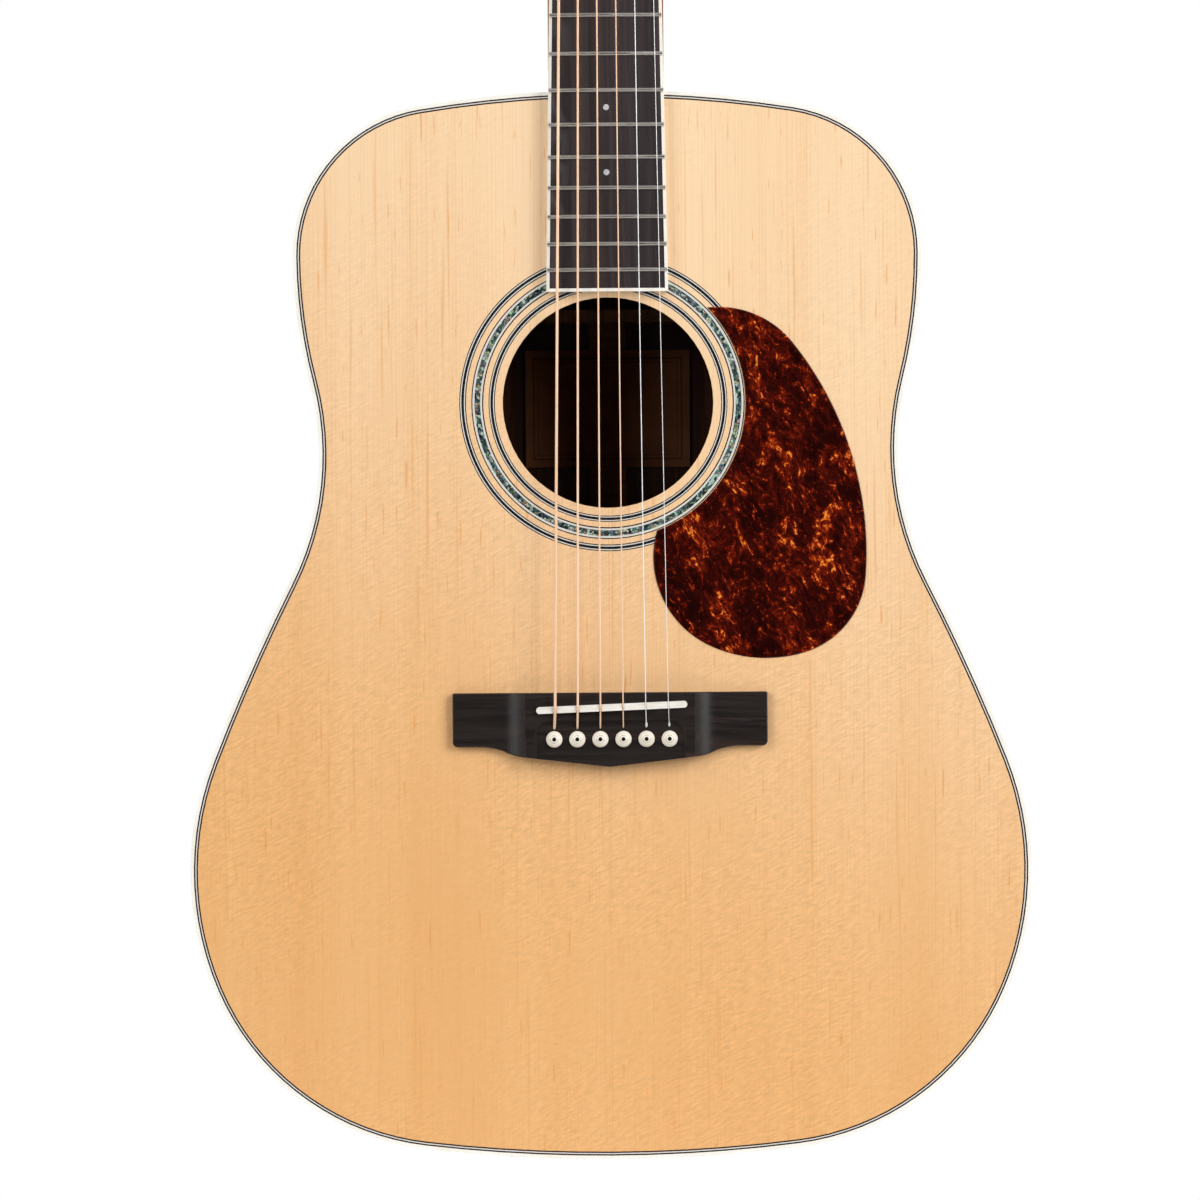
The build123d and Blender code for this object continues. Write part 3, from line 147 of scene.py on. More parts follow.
# ------------------------------------------------------------------ material helpers
class Finish:
    """One procedural material. Values are numbers, colours or the outputs of its nodes."""

    def __init__(self, name, roughness=0.4, metallic=0.0, coat=0.0, coat_roughness=0.05,
                 specular=0.5):
        self.material = bpy.data.materials.new(name)
        self.material.use_nodes = True
        self.nodes = self.material.node_tree.nodes
        self.links = self.material.node_tree.links
        self.shader = self.nodes["Principled BSDF"]
        self.shader.inputs["Metallic"].default_value = metallic
        self.shader.inputs["Roughness"].default_value = roughness
        self.shader.inputs["Coat Weight"].default_value = coat
        self.shader.inputs["Coat Roughness"].default_value = coat_roughness
        self.shader.inputs["Specular IOR Level"].default_value = specular
        self.shader.inputs["IOR"].default_value = 1.5
        self.place = self.nodes.new("ShaderNodeTexCoord").outputs["Object"]
        self.axes = None

    def put(self, value, socket):
        if isinstance(value, bpy.types.NodeSocket):
            self.links.new(value, socket)
        else:
            socket.default_value = value

    def maths(self, operation, first, second=0.0, third=0.0, clamp=False):
        node = self.nodes.new("ShaderNodeMath")
        node.operation = operation
        node.use_clamp = clamp
        for value, socket in zip((first, second, third), node.inputs):
            self.put(value, socket)
        return node.outputs[0]

    def axis(self, name):
        """X, Y or Z of the place, in metres."""
        if self.axes is None:
            self.axes = self.nodes.new("ShaderNodeSeparateXYZ")
            self.links.new(self.place, self.axes.inputs[0])
        return self.axes.outputs[name]

    def reach(self, first, second):
        """The length of the line whose two sides are given."""
        squares = [self.maths("MULTIPLY", side, side) for side in (first, second)]
        return self.maths("SQRT", self.maths("ADD", *squares))

    def point(self, x, y, z):
        node = self.nodes.new("ShaderNodeCombineXYZ")
        for value, socket in zip((x, y, z), node.inputs):
            self.put(value, socket)
        return node.outputs[0]

    def stretched(self, scales, turn=(0.0, 0.0, 0.0), source=None):
        """The place, turned and then scaled along each axis, so that a noise has long cells."""
        turned = self.nodes.new("ShaderNodeMapping")
        turned.vector_type = "POINT"
        self.links.new(source or self.place, turned.inputs["Vector"])
        turned.inputs["Rotation"].default_value = turn
        sized = self.nodes.new("ShaderNodeVectorMath")
        sized.operation = "MULTIPLY"
        self.links.new(turned.outputs[0], sized.inputs[0])
        sized.inputs[1].default_value = scales
        return sized.outputs[0]

    def pushed(self, source, drift, amounts):
        """A place pushed about by a colour noise, so that what follows it wavers."""
        node = self.nodes.new("ShaderNodeVectorMath")
        node.operation = "MULTIPLY_ADD"
        self.links.new(drift, node.inputs[0])
        node.inputs[1].default_value = amounts
        self.links.new(source, node.inputs[2])
        return node.outputs[0]

    def noise(self, where, detail=3.0, roughness=0.5, warp=0.0, colour=False):
        node = self.nodes.new("ShaderNodeTexNoise")
        self.links.new(where, node.inputs["Vector"])
        node.inputs["Scale"].default_value = 1.0
        node.inputs["Detail"].default_value = detail
        node.inputs["Roughness"].default_value = roughness
        node.inputs["Distortion"].default_value = warp
        return node.outputs["Color" if colour else "Fac"]

    def line_noise(self, along, scale, detail=2.0, roughness=0.5):
        node = self.nodes.new("ShaderNodeTexNoise")
        node.noise_dimensions = "1D"
        self.put(along, node.inputs["W"])
        node.inputs["Scale"].default_value = scale
        node.inputs["Detail"].default_value = detail
        node.inputs["Roughness"].default_value = roughness
        return node.outputs["Fac"]

    def cells(self, where, colour=False, feature="F1"):
        node = self.nodes.new("ShaderNodeTexVoronoi")
        node.feature = feature
        self.links.new(where, node.inputs["Vector"])
        node.inputs["Scale"].default_value = 1.0
        node.inputs["Randomness"].default_value = 1.0
        return node.outputs["Color" if colour else "Distance"]

    def spread(self, value, low, high, to_low=0.0, to_high=1.0):
        """A value's range from low to high, mapped smoothly and kept inside."""
        node = self.nodes.new("ShaderNodeMapRange")
        node.interpolation_type = "SMOOTHSTEP"
        self.put(value, node.inputs["Value"])
        for end, number in (("From Min", low), ("From Max", high),
                            ("To Min", to_low), ("To Max", to_high)):
            node.inputs[end].default_value = number
        return node.outputs["Result"]

    def ramp(self, value, stops):
        node = self.nodes.new("ShaderNodeValToRGB")
        self.put(value, node.inputs[0])
        marks = node.color_ramp.elements
        while len(marks) < len(stops):
            marks.new(0.5)
        for mark, (position, colour) in zip(marks, stops):
            mark.position = position
            mark.color = colour
        return node.outputs["Color"]

    def mix(self, amount, first, second, blend="MIX"):
        node = self.nodes.new("ShaderNodeMix")
        node.data_type = "RGBA"
        node.blend_type = blend
        self.put(amount, node.inputs[0])
        self.put(first, node.inputs[6])
        self.put(second, node.inputs[7])
        return node.outputs[2]

    def shade(self, colour, value, low, high):
        """A colour darkened or lightened by a value from 0 to 1."""
        level = self.maths("MULTIPLY_ADD", value, high - low, low)
        tint = self.point(level, level, level)
        return self.mix(1.0, colour, tint, "MULTIPLY")

    def bump(self, height, distance, strength):
        node = self.nodes.new("ShaderNodeBump")
        node.inputs["Strength"].default_value = strength
        node.inputs["Distance"].default_value = distance
        self.put(height, node.inputs["Height"])
        return node.outputs["Normal"]

    def done(self, colour, roughness=None, normal=None):
        self.put(colour, self.shader.inputs["Base Color"])
        if roughness is not None:
            self.put(roughness, self.shader.inputs["Roughness"])
        if normal is not None:
            self.put(normal, self.shader.inputs["Normal"])
        return self.material


# ------------------------------------------------------------------------- materials
def spruce(name, base, deep):
    """Bookmatched quarter-sawn spruce: fine year rings along Z, cross silk and odd streaks."""
    f = Finish(name, roughness=0.36, coat=0.3, coat_roughness=0.18, specular=0.35)
    wander = f.noise(f.stretched((7.0, 7.0, 2.2)), detail=2.0)
    across = f.maths("ABSOLUTE", f.axis("X"))
    across = f.maths("MULTIPLY_ADD", wander, 0.0035, across)
    # Rings stand closer by the centre seam than at the edges.
    packed = f.maths("POWER", f.maths("MAXIMUM", across, 0.0001), 0.93)
    wave = f.maths("FRACT", f.maths("ADD", f.maths("MULTIPLY", packed, 520.0),
                                    f.maths("MULTIPLY", f.line_noise(across, 90.0), 2.2)))
    late = f.maths("POWER", wave, 3.0)
    uneven = f.line_noise(across, 210.0, detail=3.0, roughness=0.7)
    rings = f.maths("MULTIPLY", late, f.spread(uneven, 0.35, 0.65, 0.25, 1.0))
    fibre = f.noise(f.stretched((1500.0, 1500.0, 45.0)), detail=2.0, roughness=0.6)
    silk = f.noise(f.stretched((210.0, 210.0, 820.0), turn=(0.0, SILK_SLANT, 0.0)),
                   detail=3.0, roughness=0.6, warp=0.4)
    silk_where = f.spread(f.noise(f.stretched((9.0, 9.0, 6.0)), detail=2.0), 0.36, 0.56, 0.25, 1.0)
    # The silk shows most on the lower bout.
    silk_where = f.maths("MULTIPLY", silk_where, f.spread(f.axis("Z"), *SILK_SPAN, 0.45, 1.0))
    broad = f.noise(f.stretched((16.0, 16.0, 2.5)), detail=3.0)
    bands = f.line_noise(across, 38.0, detail=3.0, roughness=0.6)
    tone = f.maths("MULTIPLY_ADD", bands, 0.55, f.maths("MULTIPLY", broad, 0.45))
    colour = f.ramp(tone, [(0.18, deep), (0.70, base)])
    # Painted shade: the colour is darkened towards the tail, and a little towards negative X,
    # standing in for light that falls off there.
    painted_shade = f.spread(f.maths("MULTIPLY_ADD", f.axis("X"), 0.45, f.axis("Z")), *PAINTED_SHADE_SPAN)
    colour = f.mix(painted_shade, colour, f.mix(1.0, colour, paint(241, 214, 177), "MULTIPLY"))
    colour = f.mix(f.maths("MULTIPLY", rings, 0.26), colour, paint(219, 165, 106))
    silk_mark = f.maths("MULTIPLY", f.maths("SUBTRACT", silk, 0.5), silk_where)
    colour = f.shade(colour, f.maths("ADD", silk_mark, 0.5, clamp=True), 0.72, 1.28)
    colour = f.shade(colour, fibre, 0.95, 1.05)
    dashes = f.noise(f.stretched((640.0, 640.0, 42.0)), detail=2.0, roughness=0.5)
    colour = f.mix(f.maths("MULTIPLY", f.spread(dashes, 0.645, 0.72), 0.5),
                   colour, paint(222, 146, 70))
    faint = f.noise(f.stretched((420.0, 420.0, 8.0)), detail=2.0, roughness=0.5)
    colour = f.mix(f.spread(faint, 0.60, 0.72, 0.0, 0.42), colour, paint(224, 160, 94))
    seam = f.spread(f.maths("ABSOLUTE", f.axis("X")), 0.00008, 0.0003, 0.22, 0.0)
    colour = f.mix(seam, colour, paint(196, 138, 84))
    rough = f.spread(fibre, 0.2, 0.8, 0.34, 0.46)
    normal = f.bump(f.maths("MULTIPLY_ADD", rings, -0.6, fibre), 0.00003, 0.35)
    return f.done(colour, rough, normal)


def dark_wood(name, low, high, vein, scales, pore_scales, gloss=0.0, roughness=0.45,
              vein_amount=0.5, pore_amount=0.6, specular=0.4, mirror=False, contrast=(0.3, 0.7)):
    """A dense dark wood: long streaks, a few strong veins and short open pores."""
    f = Finish(name, roughness=roughness, coat=gloss, coat_roughness=0.06, specular=specular)
    source = f.place
    if mirror:
        source = f.point(f.maths("ABSOLUTE", f.axis("X")), f.axis("Y"), f.axis("Z"))
    wander = f.noise(f.stretched((5.0, 5.0, 5.0), source=source), detail=2.0, colour=True)
    along = f.pushed(source, wander, (0.012, 0.004, 0.012))
    streak = f.noise(f.stretched(scales, source=along), detail=6.0, roughness=0.62)
    broad = f.noise(f.stretched(tuple(s * 0.22 for s in scales), source=along), detail=3.0)
    tone = f.maths("MULTIPLY_ADD", streak, 0.6, f.maths("MULTIPLY", broad, 0.4))
    colour = f.ramp(tone, [(contrast[0], low), (contrast[1], high)])
    veins = f.noise(f.stretched(tuple(s * 0.5 for s in scales), turn=(0.01, 0.02, 0.0),
                                source=along), detail=4.0, roughness=0.7)
    colour = f.mix(f.maths("MULTIPLY", f.spread(veins, 0.56, 0.68), vein_amount), colour, vein)
    pores = f.noise(f.stretched(pore_scales), detail=2.0, roughness=0.5)
    pore = f.spread(pores, 0.6, 0.72)
    colour = f.mix(f.maths("MULTIPLY", pore, pore_amount), colour, darker(low, 0.35))
    polish = f.spread(streak, 0.2, 0.8, roughness - 0.05, roughness + 0.06)
    rough = f.maths("MULTIPLY_ADD", pore, 0.18, polish)
    relief = f.maths("MULTIPLY_ADD", pore, -1.0, f.maths("MULTIPLY", streak, 0.4))
    return f.done(colour, rough, f.bump(relief, 0.00004, 0.4))


def pale_wood(name, light, deep, scales, roughness=0.55, gloss=0.0):
    """A plain pale wood with soft grain."""
    f = Finish(name, roughness=roughness, coat=gloss, specular=0.3)
    grain = f.noise(f.stretched(scales), detail=5.0, roughness=0.6, warp=0.2)
    fine = f.noise(f.stretched(tuple(s * 5 for s in scales)), detail=2.0)
    colour = f.ramp(grain, [(0.3, deep), (0.7, light)])
    colour = f.shade(colour, fine, 0.9, 1.08)
    return f.done(colour, f.spread(fine, 0.2, 0.8, roughness - 0.06, roughness + 0.08),
                  f.bump(fine, 0.00005, 0.4))


def tortoise(name):
    """Polished tortoise-pattern sheet: dark red ground, clouds and clumps of orange flecks."""
    f = Finish(name, roughness=0.12, coat=0.5, coat_roughness=0.03, specular=0.45)
    drift = f.noise(f.stretched((55.0, 55.0, 34.0)), detail=2.0, colour=True)
    swirl = f.pushed(f.place, drift, (0.010, 0.010, 0.015))

    def slanted(scales, degrees):
        return f.stretched(scales, turn=(0.0, math.radians(degrees), 0.0), source=swirl)

    cloud = f.noise(slanted((95.0, 95.0, 55.0), 24.0), detail=4.0, roughness=0.62)
    fleck = f.noise(slanted((440.0, 440.0, 250.0), 27.0), detail=3.0, roughness=0.6, warp=0.7)
    fine = f.noise(slanted((1500.0, 1500.0, 900.0), -30.0), detail=2.0, roughness=0.6, warp=0.8)
    ground = f.ramp(cloud, [(0.36, paint(34, 4, 2)), (0.50, paint(60, 9, 4)),
                            (0.64, paint(92, 20, 7))])
    mottled = f.maths("MULTIPLY_ADD", fleck, 0.74, f.maths("MULTIPLY", fine, 0.26))
    clump = f.spread(cloud, 0.42, 0.66)
    drive = f.maths("MULTIPLY_ADD", clump, 0.11, mottled)
    colour = f.mix(f.spread(drive, 0.56, 0.61, 0.0, 0.6), ground, paint(122, 28, 8))
    colour = f.mix(f.spread(drive, 0.635, 0.67), colour, paint(188, 68, 16))
    colour = f.mix(f.spread(drive, 0.675, 0.72), colour, paint(238, 146, 54))
    colour = f.mix(f.spread(mottled, 0.47, 0.42, 0.0, 0.75), colour, paint(24, 3, 2))
    rough = f.spread(fine, 0.3, 0.7, 0.09, 0.15)
    return f.done(colour, rough, f.bump(cloud, 0.00012, 0.12))


def shell(name):
    """Abalone: short strips cut from the shell, green, blue, pink and smoky, with a soft lustre."""
    f = Finish(name, roughness=0.16, coat=0.6, coat_roughness=0.04, specular=0.6)
    x = f.axis("X")
    z = f.maths("SUBTRACT", f.axis("Z"), HOLE_CENTRE_Z)
    angle = f.maths("ARCTAN2", x, z)
    radius = f.reach(x, z)

    def ring_place(round_scale, out_scale, third=0.0):
        return f.point(f.maths("MULTIPLY", angle, round_scale),
                       f.maths("MULTIPLY", radius, out_scale), third)

    strip = f.nodes.new("ShaderNodeSeparateColor")
    f.links.new(f.cells(ring_place(19.0, 170.0), colour=True), strip.inputs[0])
    ripple = f.noise(ring_place(60.0, 900.0), detail=5.0, roughness=0.7, warp=1.4)
    grain = ring_place(44.0, 950.0, ripple)
    flake = f.nodes.new("ShaderNodeSeparateColor")
    f.links.new(f.cells(grain, colour=True), flake.inputs[0])
    edge = f.cells(grain, feature="DISTANCE_TO_EDGE")
    hue = f.maths("MULTIPLY_ADD", strip.outputs[0], 0.34,
                  f.maths("MULTIPLY", flake.outputs[0], 0.66))
    colour = f.ramp(hue, [
        (0.12, paint(34, 34, 34)), (0.28, paint(72, 92, 96)), (0.38, paint(102, 160, 140)),
        (0.48, paint(64, 74, 112)), (0.58, paint(150, 156, 178)), (0.68, paint(176, 200, 150)),
        (0.78, paint(188, 146, 134)), (0.90, paint(214, 206, 188)),
    ])
    colour = f.shade(colour, flake.outputs[1], 0.28, 1.40)
    colour = f.mix(f.spread(ripple, 0.56, 0.42, 0.0, 0.8), colour, paint(26, 26, 27))
    colour = f.mix(f.spread(edge, 0.02, 0.12, 0.75, 0.0), colour, paint(22, 22, 24))
    colour = f.mix(f.spread(flake.outputs[2], 0.80, 0.90, 0.0, 0.7), colour, paint(196, 226, 206))
    return f.done(colour, f.spread(ripple, 0.3, 0.7, 0.10, 0.24), f.bump(ripple, 0.00006, 0.3))


def plastic(name, colour, roughness=0.22, variation=0.05, coat=0.2, yellow=None):
    """Polished moulded or laminated strip: faint cloudiness and hair scratches."""
    f = Finish(name, roughness=roughness, coat=coat, specular=0.45)
    cloudy = f.noise(f.stretched((60.0, 60.0, 60.0)), detail=3.0)
    scratch = f.noise(f.stretched((1400.0, 1400.0, 90.0), turn=(0.3, 0.5, 0.2)), detail=2.0)
    tinted = f.mix(f.spread(cloudy, 0.35, 0.75), colour, yellow or darker(colour, 0.93))
    tinted = f.shade(tinted, scratch, 1.0 - variation, 1.0 + variation * 0.4)
    return f.done(tinted, f.spread(scratch, 0.3, 0.7, roughness - 0.05, roughness + 0.07),
                  f.bump(scratch, 0.00001, 0.25))


def bone(name):
    """Polished bone: warm white with faint lengthwise streaks and specks."""
    f = Finish(name, roughness=0.3, coat=0.25, specular=0.45)
    streak = f.noise(f.stretched((90.0, 260.0, 900.0)), detail=5.0, roughness=0.6)
    speck = f.noise(f.stretched((1600.0, 1600.0, 1600.0)), detail=1.0)
    colour = f.ramp(streak, [(0.3, paint(226, 218, 204)), (0.65, paint(246, 242, 236))])
    colour = f.mix(f.spread(speck, 0.68, 0.76, 0.0, 0.35), colour, paint(206, 190, 164))
    return f.done(colour, f.spread(streak, 0.2, 0.8, 0.24, 0.38), f.bump(streak, 0.00002, 0.3))


def metal(name, colour, roughness, brushed=(900.0, 900.0, 60.0), dulling=0.3):
    """Plated or polished metal: fine brushing, handling marks and a little dulling."""
    f = Finish(name, roughness=roughness, metallic=1.0)
    lines = f.noise(f.stretched(brushed), detail=3.0, roughness=0.6)
    smudge = f.noise(f.stretched((140.0, 140.0, 140.0)), detail=4.0, roughness=0.6)
    mark = f.spread(smudge, 0.48, 0.66)
    shaded = f.mix(f.maths("MULTIPLY", mark, dulling), colour, darker(colour, 0.7))
    polish = f.spread(lines, 0.3, 0.7, roughness * 0.8, roughness * 1.25)
    rough = f.maths("MULTIPLY_ADD", mark, 0.10, polish)
    return f.done(shaded, rough, f.bump(lines, 0.000015, 0.2))


def wound_string(name):
    """Bronze wire wound tightly round the core: ridges every third of a millimetre."""
    f = Finish(name, roughness=0.32, metallic=0.2, specular=0.7)
    turns = f.maths("SINE", f.maths("MULTIPLY", f.axis("Z"), 2 * math.pi / WRAP_PITCH))
    worn = f.noise(f.stretched((40.0, 40.0, 14.0)), detail=3.0)
    colour = f.ramp(worn, [(0.3, paint(240, 190, 150)), (0.7, paint(254, 218, 184))])
    # Painted shade: the grooves between the turns are darkened.
    painted_groove_shade = f.spread(turns, -1.0, -0.4, 0.25, 0.0)
    colour = f.mix(painted_groove_shade, colour, paint(132, 84, 50))
    return f.done(colour, f.spread(worn, 0.3, 0.7, 0.26, 0.38), f.bump(turns, 0.00003, 0.2))


def plain_string(name):
    """Drawn plain steel wire."""
    f = Finish(name, roughness=0.25, metallic=0.2, specular=0.7)
    drawn = f.noise(f.stretched((3000.0, 3000.0, 30.0)), detail=2.0)
    colour = f.ramp(drawn, [(0.3, paint(240, 240, 244)), (0.7, paint(255, 255, 255))])
    return f.done(colour, f.spread(drawn, 0.3, 0.7, 0.18, 0.30))


def label(name, low, high):
    """Aged paper, painted dark for the shade inside the body; a printed double border, nothing
    written.
    """
    f = Finish(name, roughness=0.85, specular=0.1)
    fibres = f.noise(f.stretched((700.0, 700.0, 700.0)), detail=3.0)
    stain = f.noise(f.stretched((28.0, 28.0, 28.0)), detail=3.0)
    # Painted shade: the paper's browns are darkened for the shade inside the body.
    colour = f.ramp(stain, [(0.3, paint(120, 74, 50)), (0.7, paint(150, 100, 68))])
    colour = f.shade(colour, fibres, 0.94, 1.05)
    from_edges = [f.maths("MINIMUM", f.maths("SUBTRACT", f.axis(name_of_axis), low[number]),
                          f.maths("SUBTRACT", high[number], f.axis(name_of_axis)))
                  for name_of_axis, number in (("X", 0), ("Z", 2))]
    edge = f.maths("MINIMUM", *from_edges)
    for distance, width in LABEL_LINES:
        away = f.maths("ABSOLUTE", f.maths("SUBTRACT", edge, distance))
        colour = f.mix(f.spread(away, width * 0.8, width, 0.6, 0.0), colour, paint(66, 40, 22))
    return f.done(colour, 0.85, f.bump(fibres, 0.00003, 0.4))


def pearl(name):
    """Pale mother of pearl."""
    f = Finish(name, roughness=0.14, coat=0.5, specular=0.6)
    layers = f.noise(f.stretched((420.0, 420.0, 240.0)), detail=4.0, roughness=0.6, warp=1.5)
    colour = f.ramp(layers, [(0.3, paint(158, 160, 168)), (0.5, paint(196, 198, 206)),
                             (0.7, paint(224, 222, 220))])
    return f.done(colour, f.spread(layers, 0.3, 0.7, 0.1, 0.22), f.bump(layers, 0.00003, 0.3))


LIGHT_SPRUCE = paint(252, 220, 181)
DEEP_SPRUCE = paint(243, 203, 155)
ROSEWOOD = (paint(30, 15, 10), paint(84, 46, 28), paint(120, 66, 38))

FINISHES = {
    "spruce": spruce("spruce", LIGHT_SPRUCE, DEEP_SPRUCE),
    "rosewood_body": dark_wood(
        "rosewood_back", *ROSEWOOD, (300.0, 60.0, 5.0), (1500.0, 1500.0, 90.0),
        gloss=0.4, roughness=0.34, mirror=True, specular=0.35),
    "graft_maple": pale_wood(
        "maple_graft", paint(226, 190, 140), paint(204, 160, 108), (40.0, 300.0, 40.0), 0.35, 0.4),
    "inner_wood": pale_wood(
        "mahogany_inner", paint(150, 98, 62), paint(118, 70, 42), (160.0, 160.0, 12.0)),
    "brace_spruce": pale_wood(
        "spruce_brace", paint(226, 190, 142), paint(206, 164, 114), (240.0, 60.0, 30.0)),
    "bridge_plate_maple": pale_wood(
        "maple_plate", paint(222, 188, 144), paint(200, 160, 112), (14.0, 200.0, 220.0)),
    # Painted shade: the back's seam strip, seen through the soundhole, is a dark copy of spruce.
    "seam_spruce": pale_wood(
        "spruce_strip", paint(138, 98, 68), paint(112, 76, 50), (30.0, 60.0, 300.0)),
    "label_paper": label("label_paper", *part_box("soundhole_label")),
    "binding_ivory": plastic("binding_ivory", paint(252, 249, 241), yellow=paint(246, 240, 226)),
    "line_black": plastic("line_black", paint(19, 19, 22), 0.3, 0.1, yellow=paint(25, 25, 29)),
    "line_white": plastic("line_white", paint(226, 222, 214), 0.3, 0.06),
    "abalone": shell("abalone_shell"),
    "pickguard_tortoise": tortoise("tortoise_sheet"),
    "bridge_rosewood": dark_wood(
        "rosewood_bridge", paint(17, 13, 12), paint(44, 34, 30), paint(70, 50, 42),
        (14.0, 420.0, 420.0), (90.0, 1700.0, 1700.0), roughness=0.37, pore_amount=0.5,
        contrast=(0.36, 0.66)),
    "bone": bone("polished_bone"),
    "pin_ivory": plastic(
        "pin_ivory", paint(248, 240, 226), 0.2, 0.03, 0.4, yellow=paint(240, 230, 210)),
    "neck_mahogany": dark_wood(
        "mahogany_neck", paint(104, 50, 26), paint(156, 84, 48), paint(170, 96, 58),
        (240.0, 240.0, 7.0), (1500.0, 1500.0, 70.0), gloss=0.25, roughness=0.36,
        vein_amount=0.3, pore_amount=0.55),
    "veneer_rosewood": dark_wood(
        "rosewood_veneer", *ROSEWOOD, (320.0, 320.0, 6.0), (1500.0, 1500.0, 90.0),
        gloss=0.3, roughness=0.36, mirror=True, specular=0.35),
    "fingerboard_rosewood": dark_wood(
        "rosewood_fingerboard", paint(34, 26, 27), paint(62, 50, 50), paint(82, 52, 48),
        (420.0, 420.0, 6.0), (1800.0, 1800.0, 110.0), roughness=0.5, vein_amount=0.45,
        pore_amount=0.45, specular=0.35, contrast=(0.38, 0.62)),
    "fret_nickel": metal("fret_nickel", paint(212, 207, 200), 0.34, (60.0, 900.0, 900.0)),
    "pearl": pearl("pearl_dot"),
    "dot_black": plastic("dot_black", paint(16, 15, 16), 0.25, 0.1),
    "eyelet_grey": plastic("eyelet_grey", paint(150, 142, 132), 0.3, 0.05),
    "rod_steel": metal("rod_steel", paint(150, 150, 152), 0.35),
    "nut_brass": metal("nut_brass", paint(214, 176, 104), 0.28, (700.0, 700.0, 200.0)),
    "cover_black": plastic("cover_black", paint(18, 18, 20), 0.2, 0.05, 0.3),
    "screw_chrome": metal("screw_chrome", paint(206, 207, 210), 0.14, (500.0, 500.0, 500.0)),
    "tuner_chrome": metal(
        "tuner_chrome", paint(212, 213, 216), 0.09, (300.0, 300.0, 300.0), dulling=0.18),
    "string_bronze": wound_string("string_bronze"),
    "string_steel": plain_string("string_steel"),
    "ball_brass": metal("ball_brass", paint(222, 186, 112), 0.25, (800.0, 800.0, 800.0)),
}
bent_rosewood = dark_wood("rosewood_side", *ROSEWOOD, (9.0, 330.0, 9.0), (240.0, 1500.0, 240.0),
                          gloss=0.4, roughness=0.34, specular=0.35)
# Nodes whose look differs from that of the others in their slot.
NODE_FINISHES = {
    "side_bass": bent_rosewood,
    "side_treble": bent_rosewood,
    # Painted shade: the back braces, seen through the soundhole, are a darker copy of the brace
    # spruce.
    "back_braces": pale_wood(
        "brace_in_painted_shade", paint(146, 104, 70), paint(120, 82, 54), (240.0, 60.0, 30.0)),
    "purfling_black": plastic(
        "purfling_brown", paint(44, 30, 30), 0.3, 0.1, yellow=paint(56, 40, 38)),
}


def slot_of(node):
    """The record's slot for a node, read from the material it was packed with."""
    return NODES[node].material_slots[0].material.name.split(".")[0]


for node_name, node_object in NODES.items():
    node_finish = NODE_FINISHES.get(node_name) or FINISHES[slot_of(node_name)]
    for node_slot in node_object.material_slots:
        node_slot.material = node_finish


# ---------------------------------------------------------------------- extra pieces
def add_mesh(name, mesh, finish, body):
    """A smooth piece that rides on a body and takes its finish from a slot."""
    piece = bpy.data.objects.new(name, mesh)
    bpy.context.scene.collection.objects.link(piece)
    mesh.materials.append(finish)
    for face in mesh.polygons:
        face.use_smooth = True
    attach(piece, body)
    return piece


def tube(points, radius, sides=10):
    """Closed tube along points, each end capped with a small dome."""
    shape = bmesh.new()
    rings = []
    count = len(points)
    normal = None
    for number, here in enumerate(points):
        ahead = points[min(number + 1, count - 1)] - points[max(number - 1, 0)]
        ahead.normalize()
        if normal is None:
            normal = ahead.orthogonal().normalized()
        normal = (normal - ahead * normal.dot(ahead)).normalized()
        other = ahead.cross(normal)
        rings.append([shape.verts.new(here + (normal * math.cos(a) + other * math.sin(a)) * radius)
                      for a in (2 * math.pi * k / sides for k in range(sides))])
    for low, high in zip(rings, rings[1:]):
        for k in range(sides):
            shape.faces.new((low[k], low[(k + 1) % sides], high[(k + 1) % sides], high[k]))
    for ring, end, inner in ((rings[0], 0, 1), (rings[-1], -1, -2)):
        ahead = (points[end] - points[inner]).normalized()
        tip = shape.verts.new(points[end] + ahead * radius * 0.6)
        for k in range(sides):
            shape.faces.new((ring[k], ring[(k + 1) % sides], tip))
    bmesh.ops.recalc_face_normals(shape, faces=shape.faces)
    mesh = bpy.data.meshes.new("tube")
    shape.to_mesh(mesh)
    shape.free()
    return mesh


def turned(profile, segments=40):
    """Mesh turned about Z from (radius, height) points, ending on the axis or where they start."""
    shape = bmesh.new()
    rings = []
    for radius, height in profile:
        if radius == 0:
            rings.append([shape.verts.new((0, 0, height))])
        else:
            rings.append([shape.verts.new((radius * math.cos(a), radius * math.sin(a), height))
                          for a in (2 * math.pi * k / segments for k in range(segments))])
    for low, high in zip(rings, rings[1:]):
        for k in range(segments):
            after = (k + 1) % segments
            corners = [low[k % len(low)], low[after % len(low)],
                       high[after % len(high)], high[k % len(high)]]
            unique = [c for n, c in enumerate(corners) if c not in corners[:n]]
            if len(unique) > 2:
                shape.faces.new(unique)
    # A ring's profile ends where it starts, so its two seams become one.
    bmesh.ops.remove_doubles(shape, verts=shape.verts, dist=0.0001 * MM)
    bmesh.ops.recalc_face_normals(shape, faces=shape.faces)
    mesh = bpy.data.meshes.new("turned")
    shape.to_mesh(mesh)
    shape.free()
    return mesh


def head_place(x, y, z):
    """A place on the tilted headstock, in the row frame."""
    c, s = math.cos(HEAD_TILT), math.sin(HEAD_TILT)
    return Vector((x, y * c + z * s, HEAD_START + z * c - y * s))


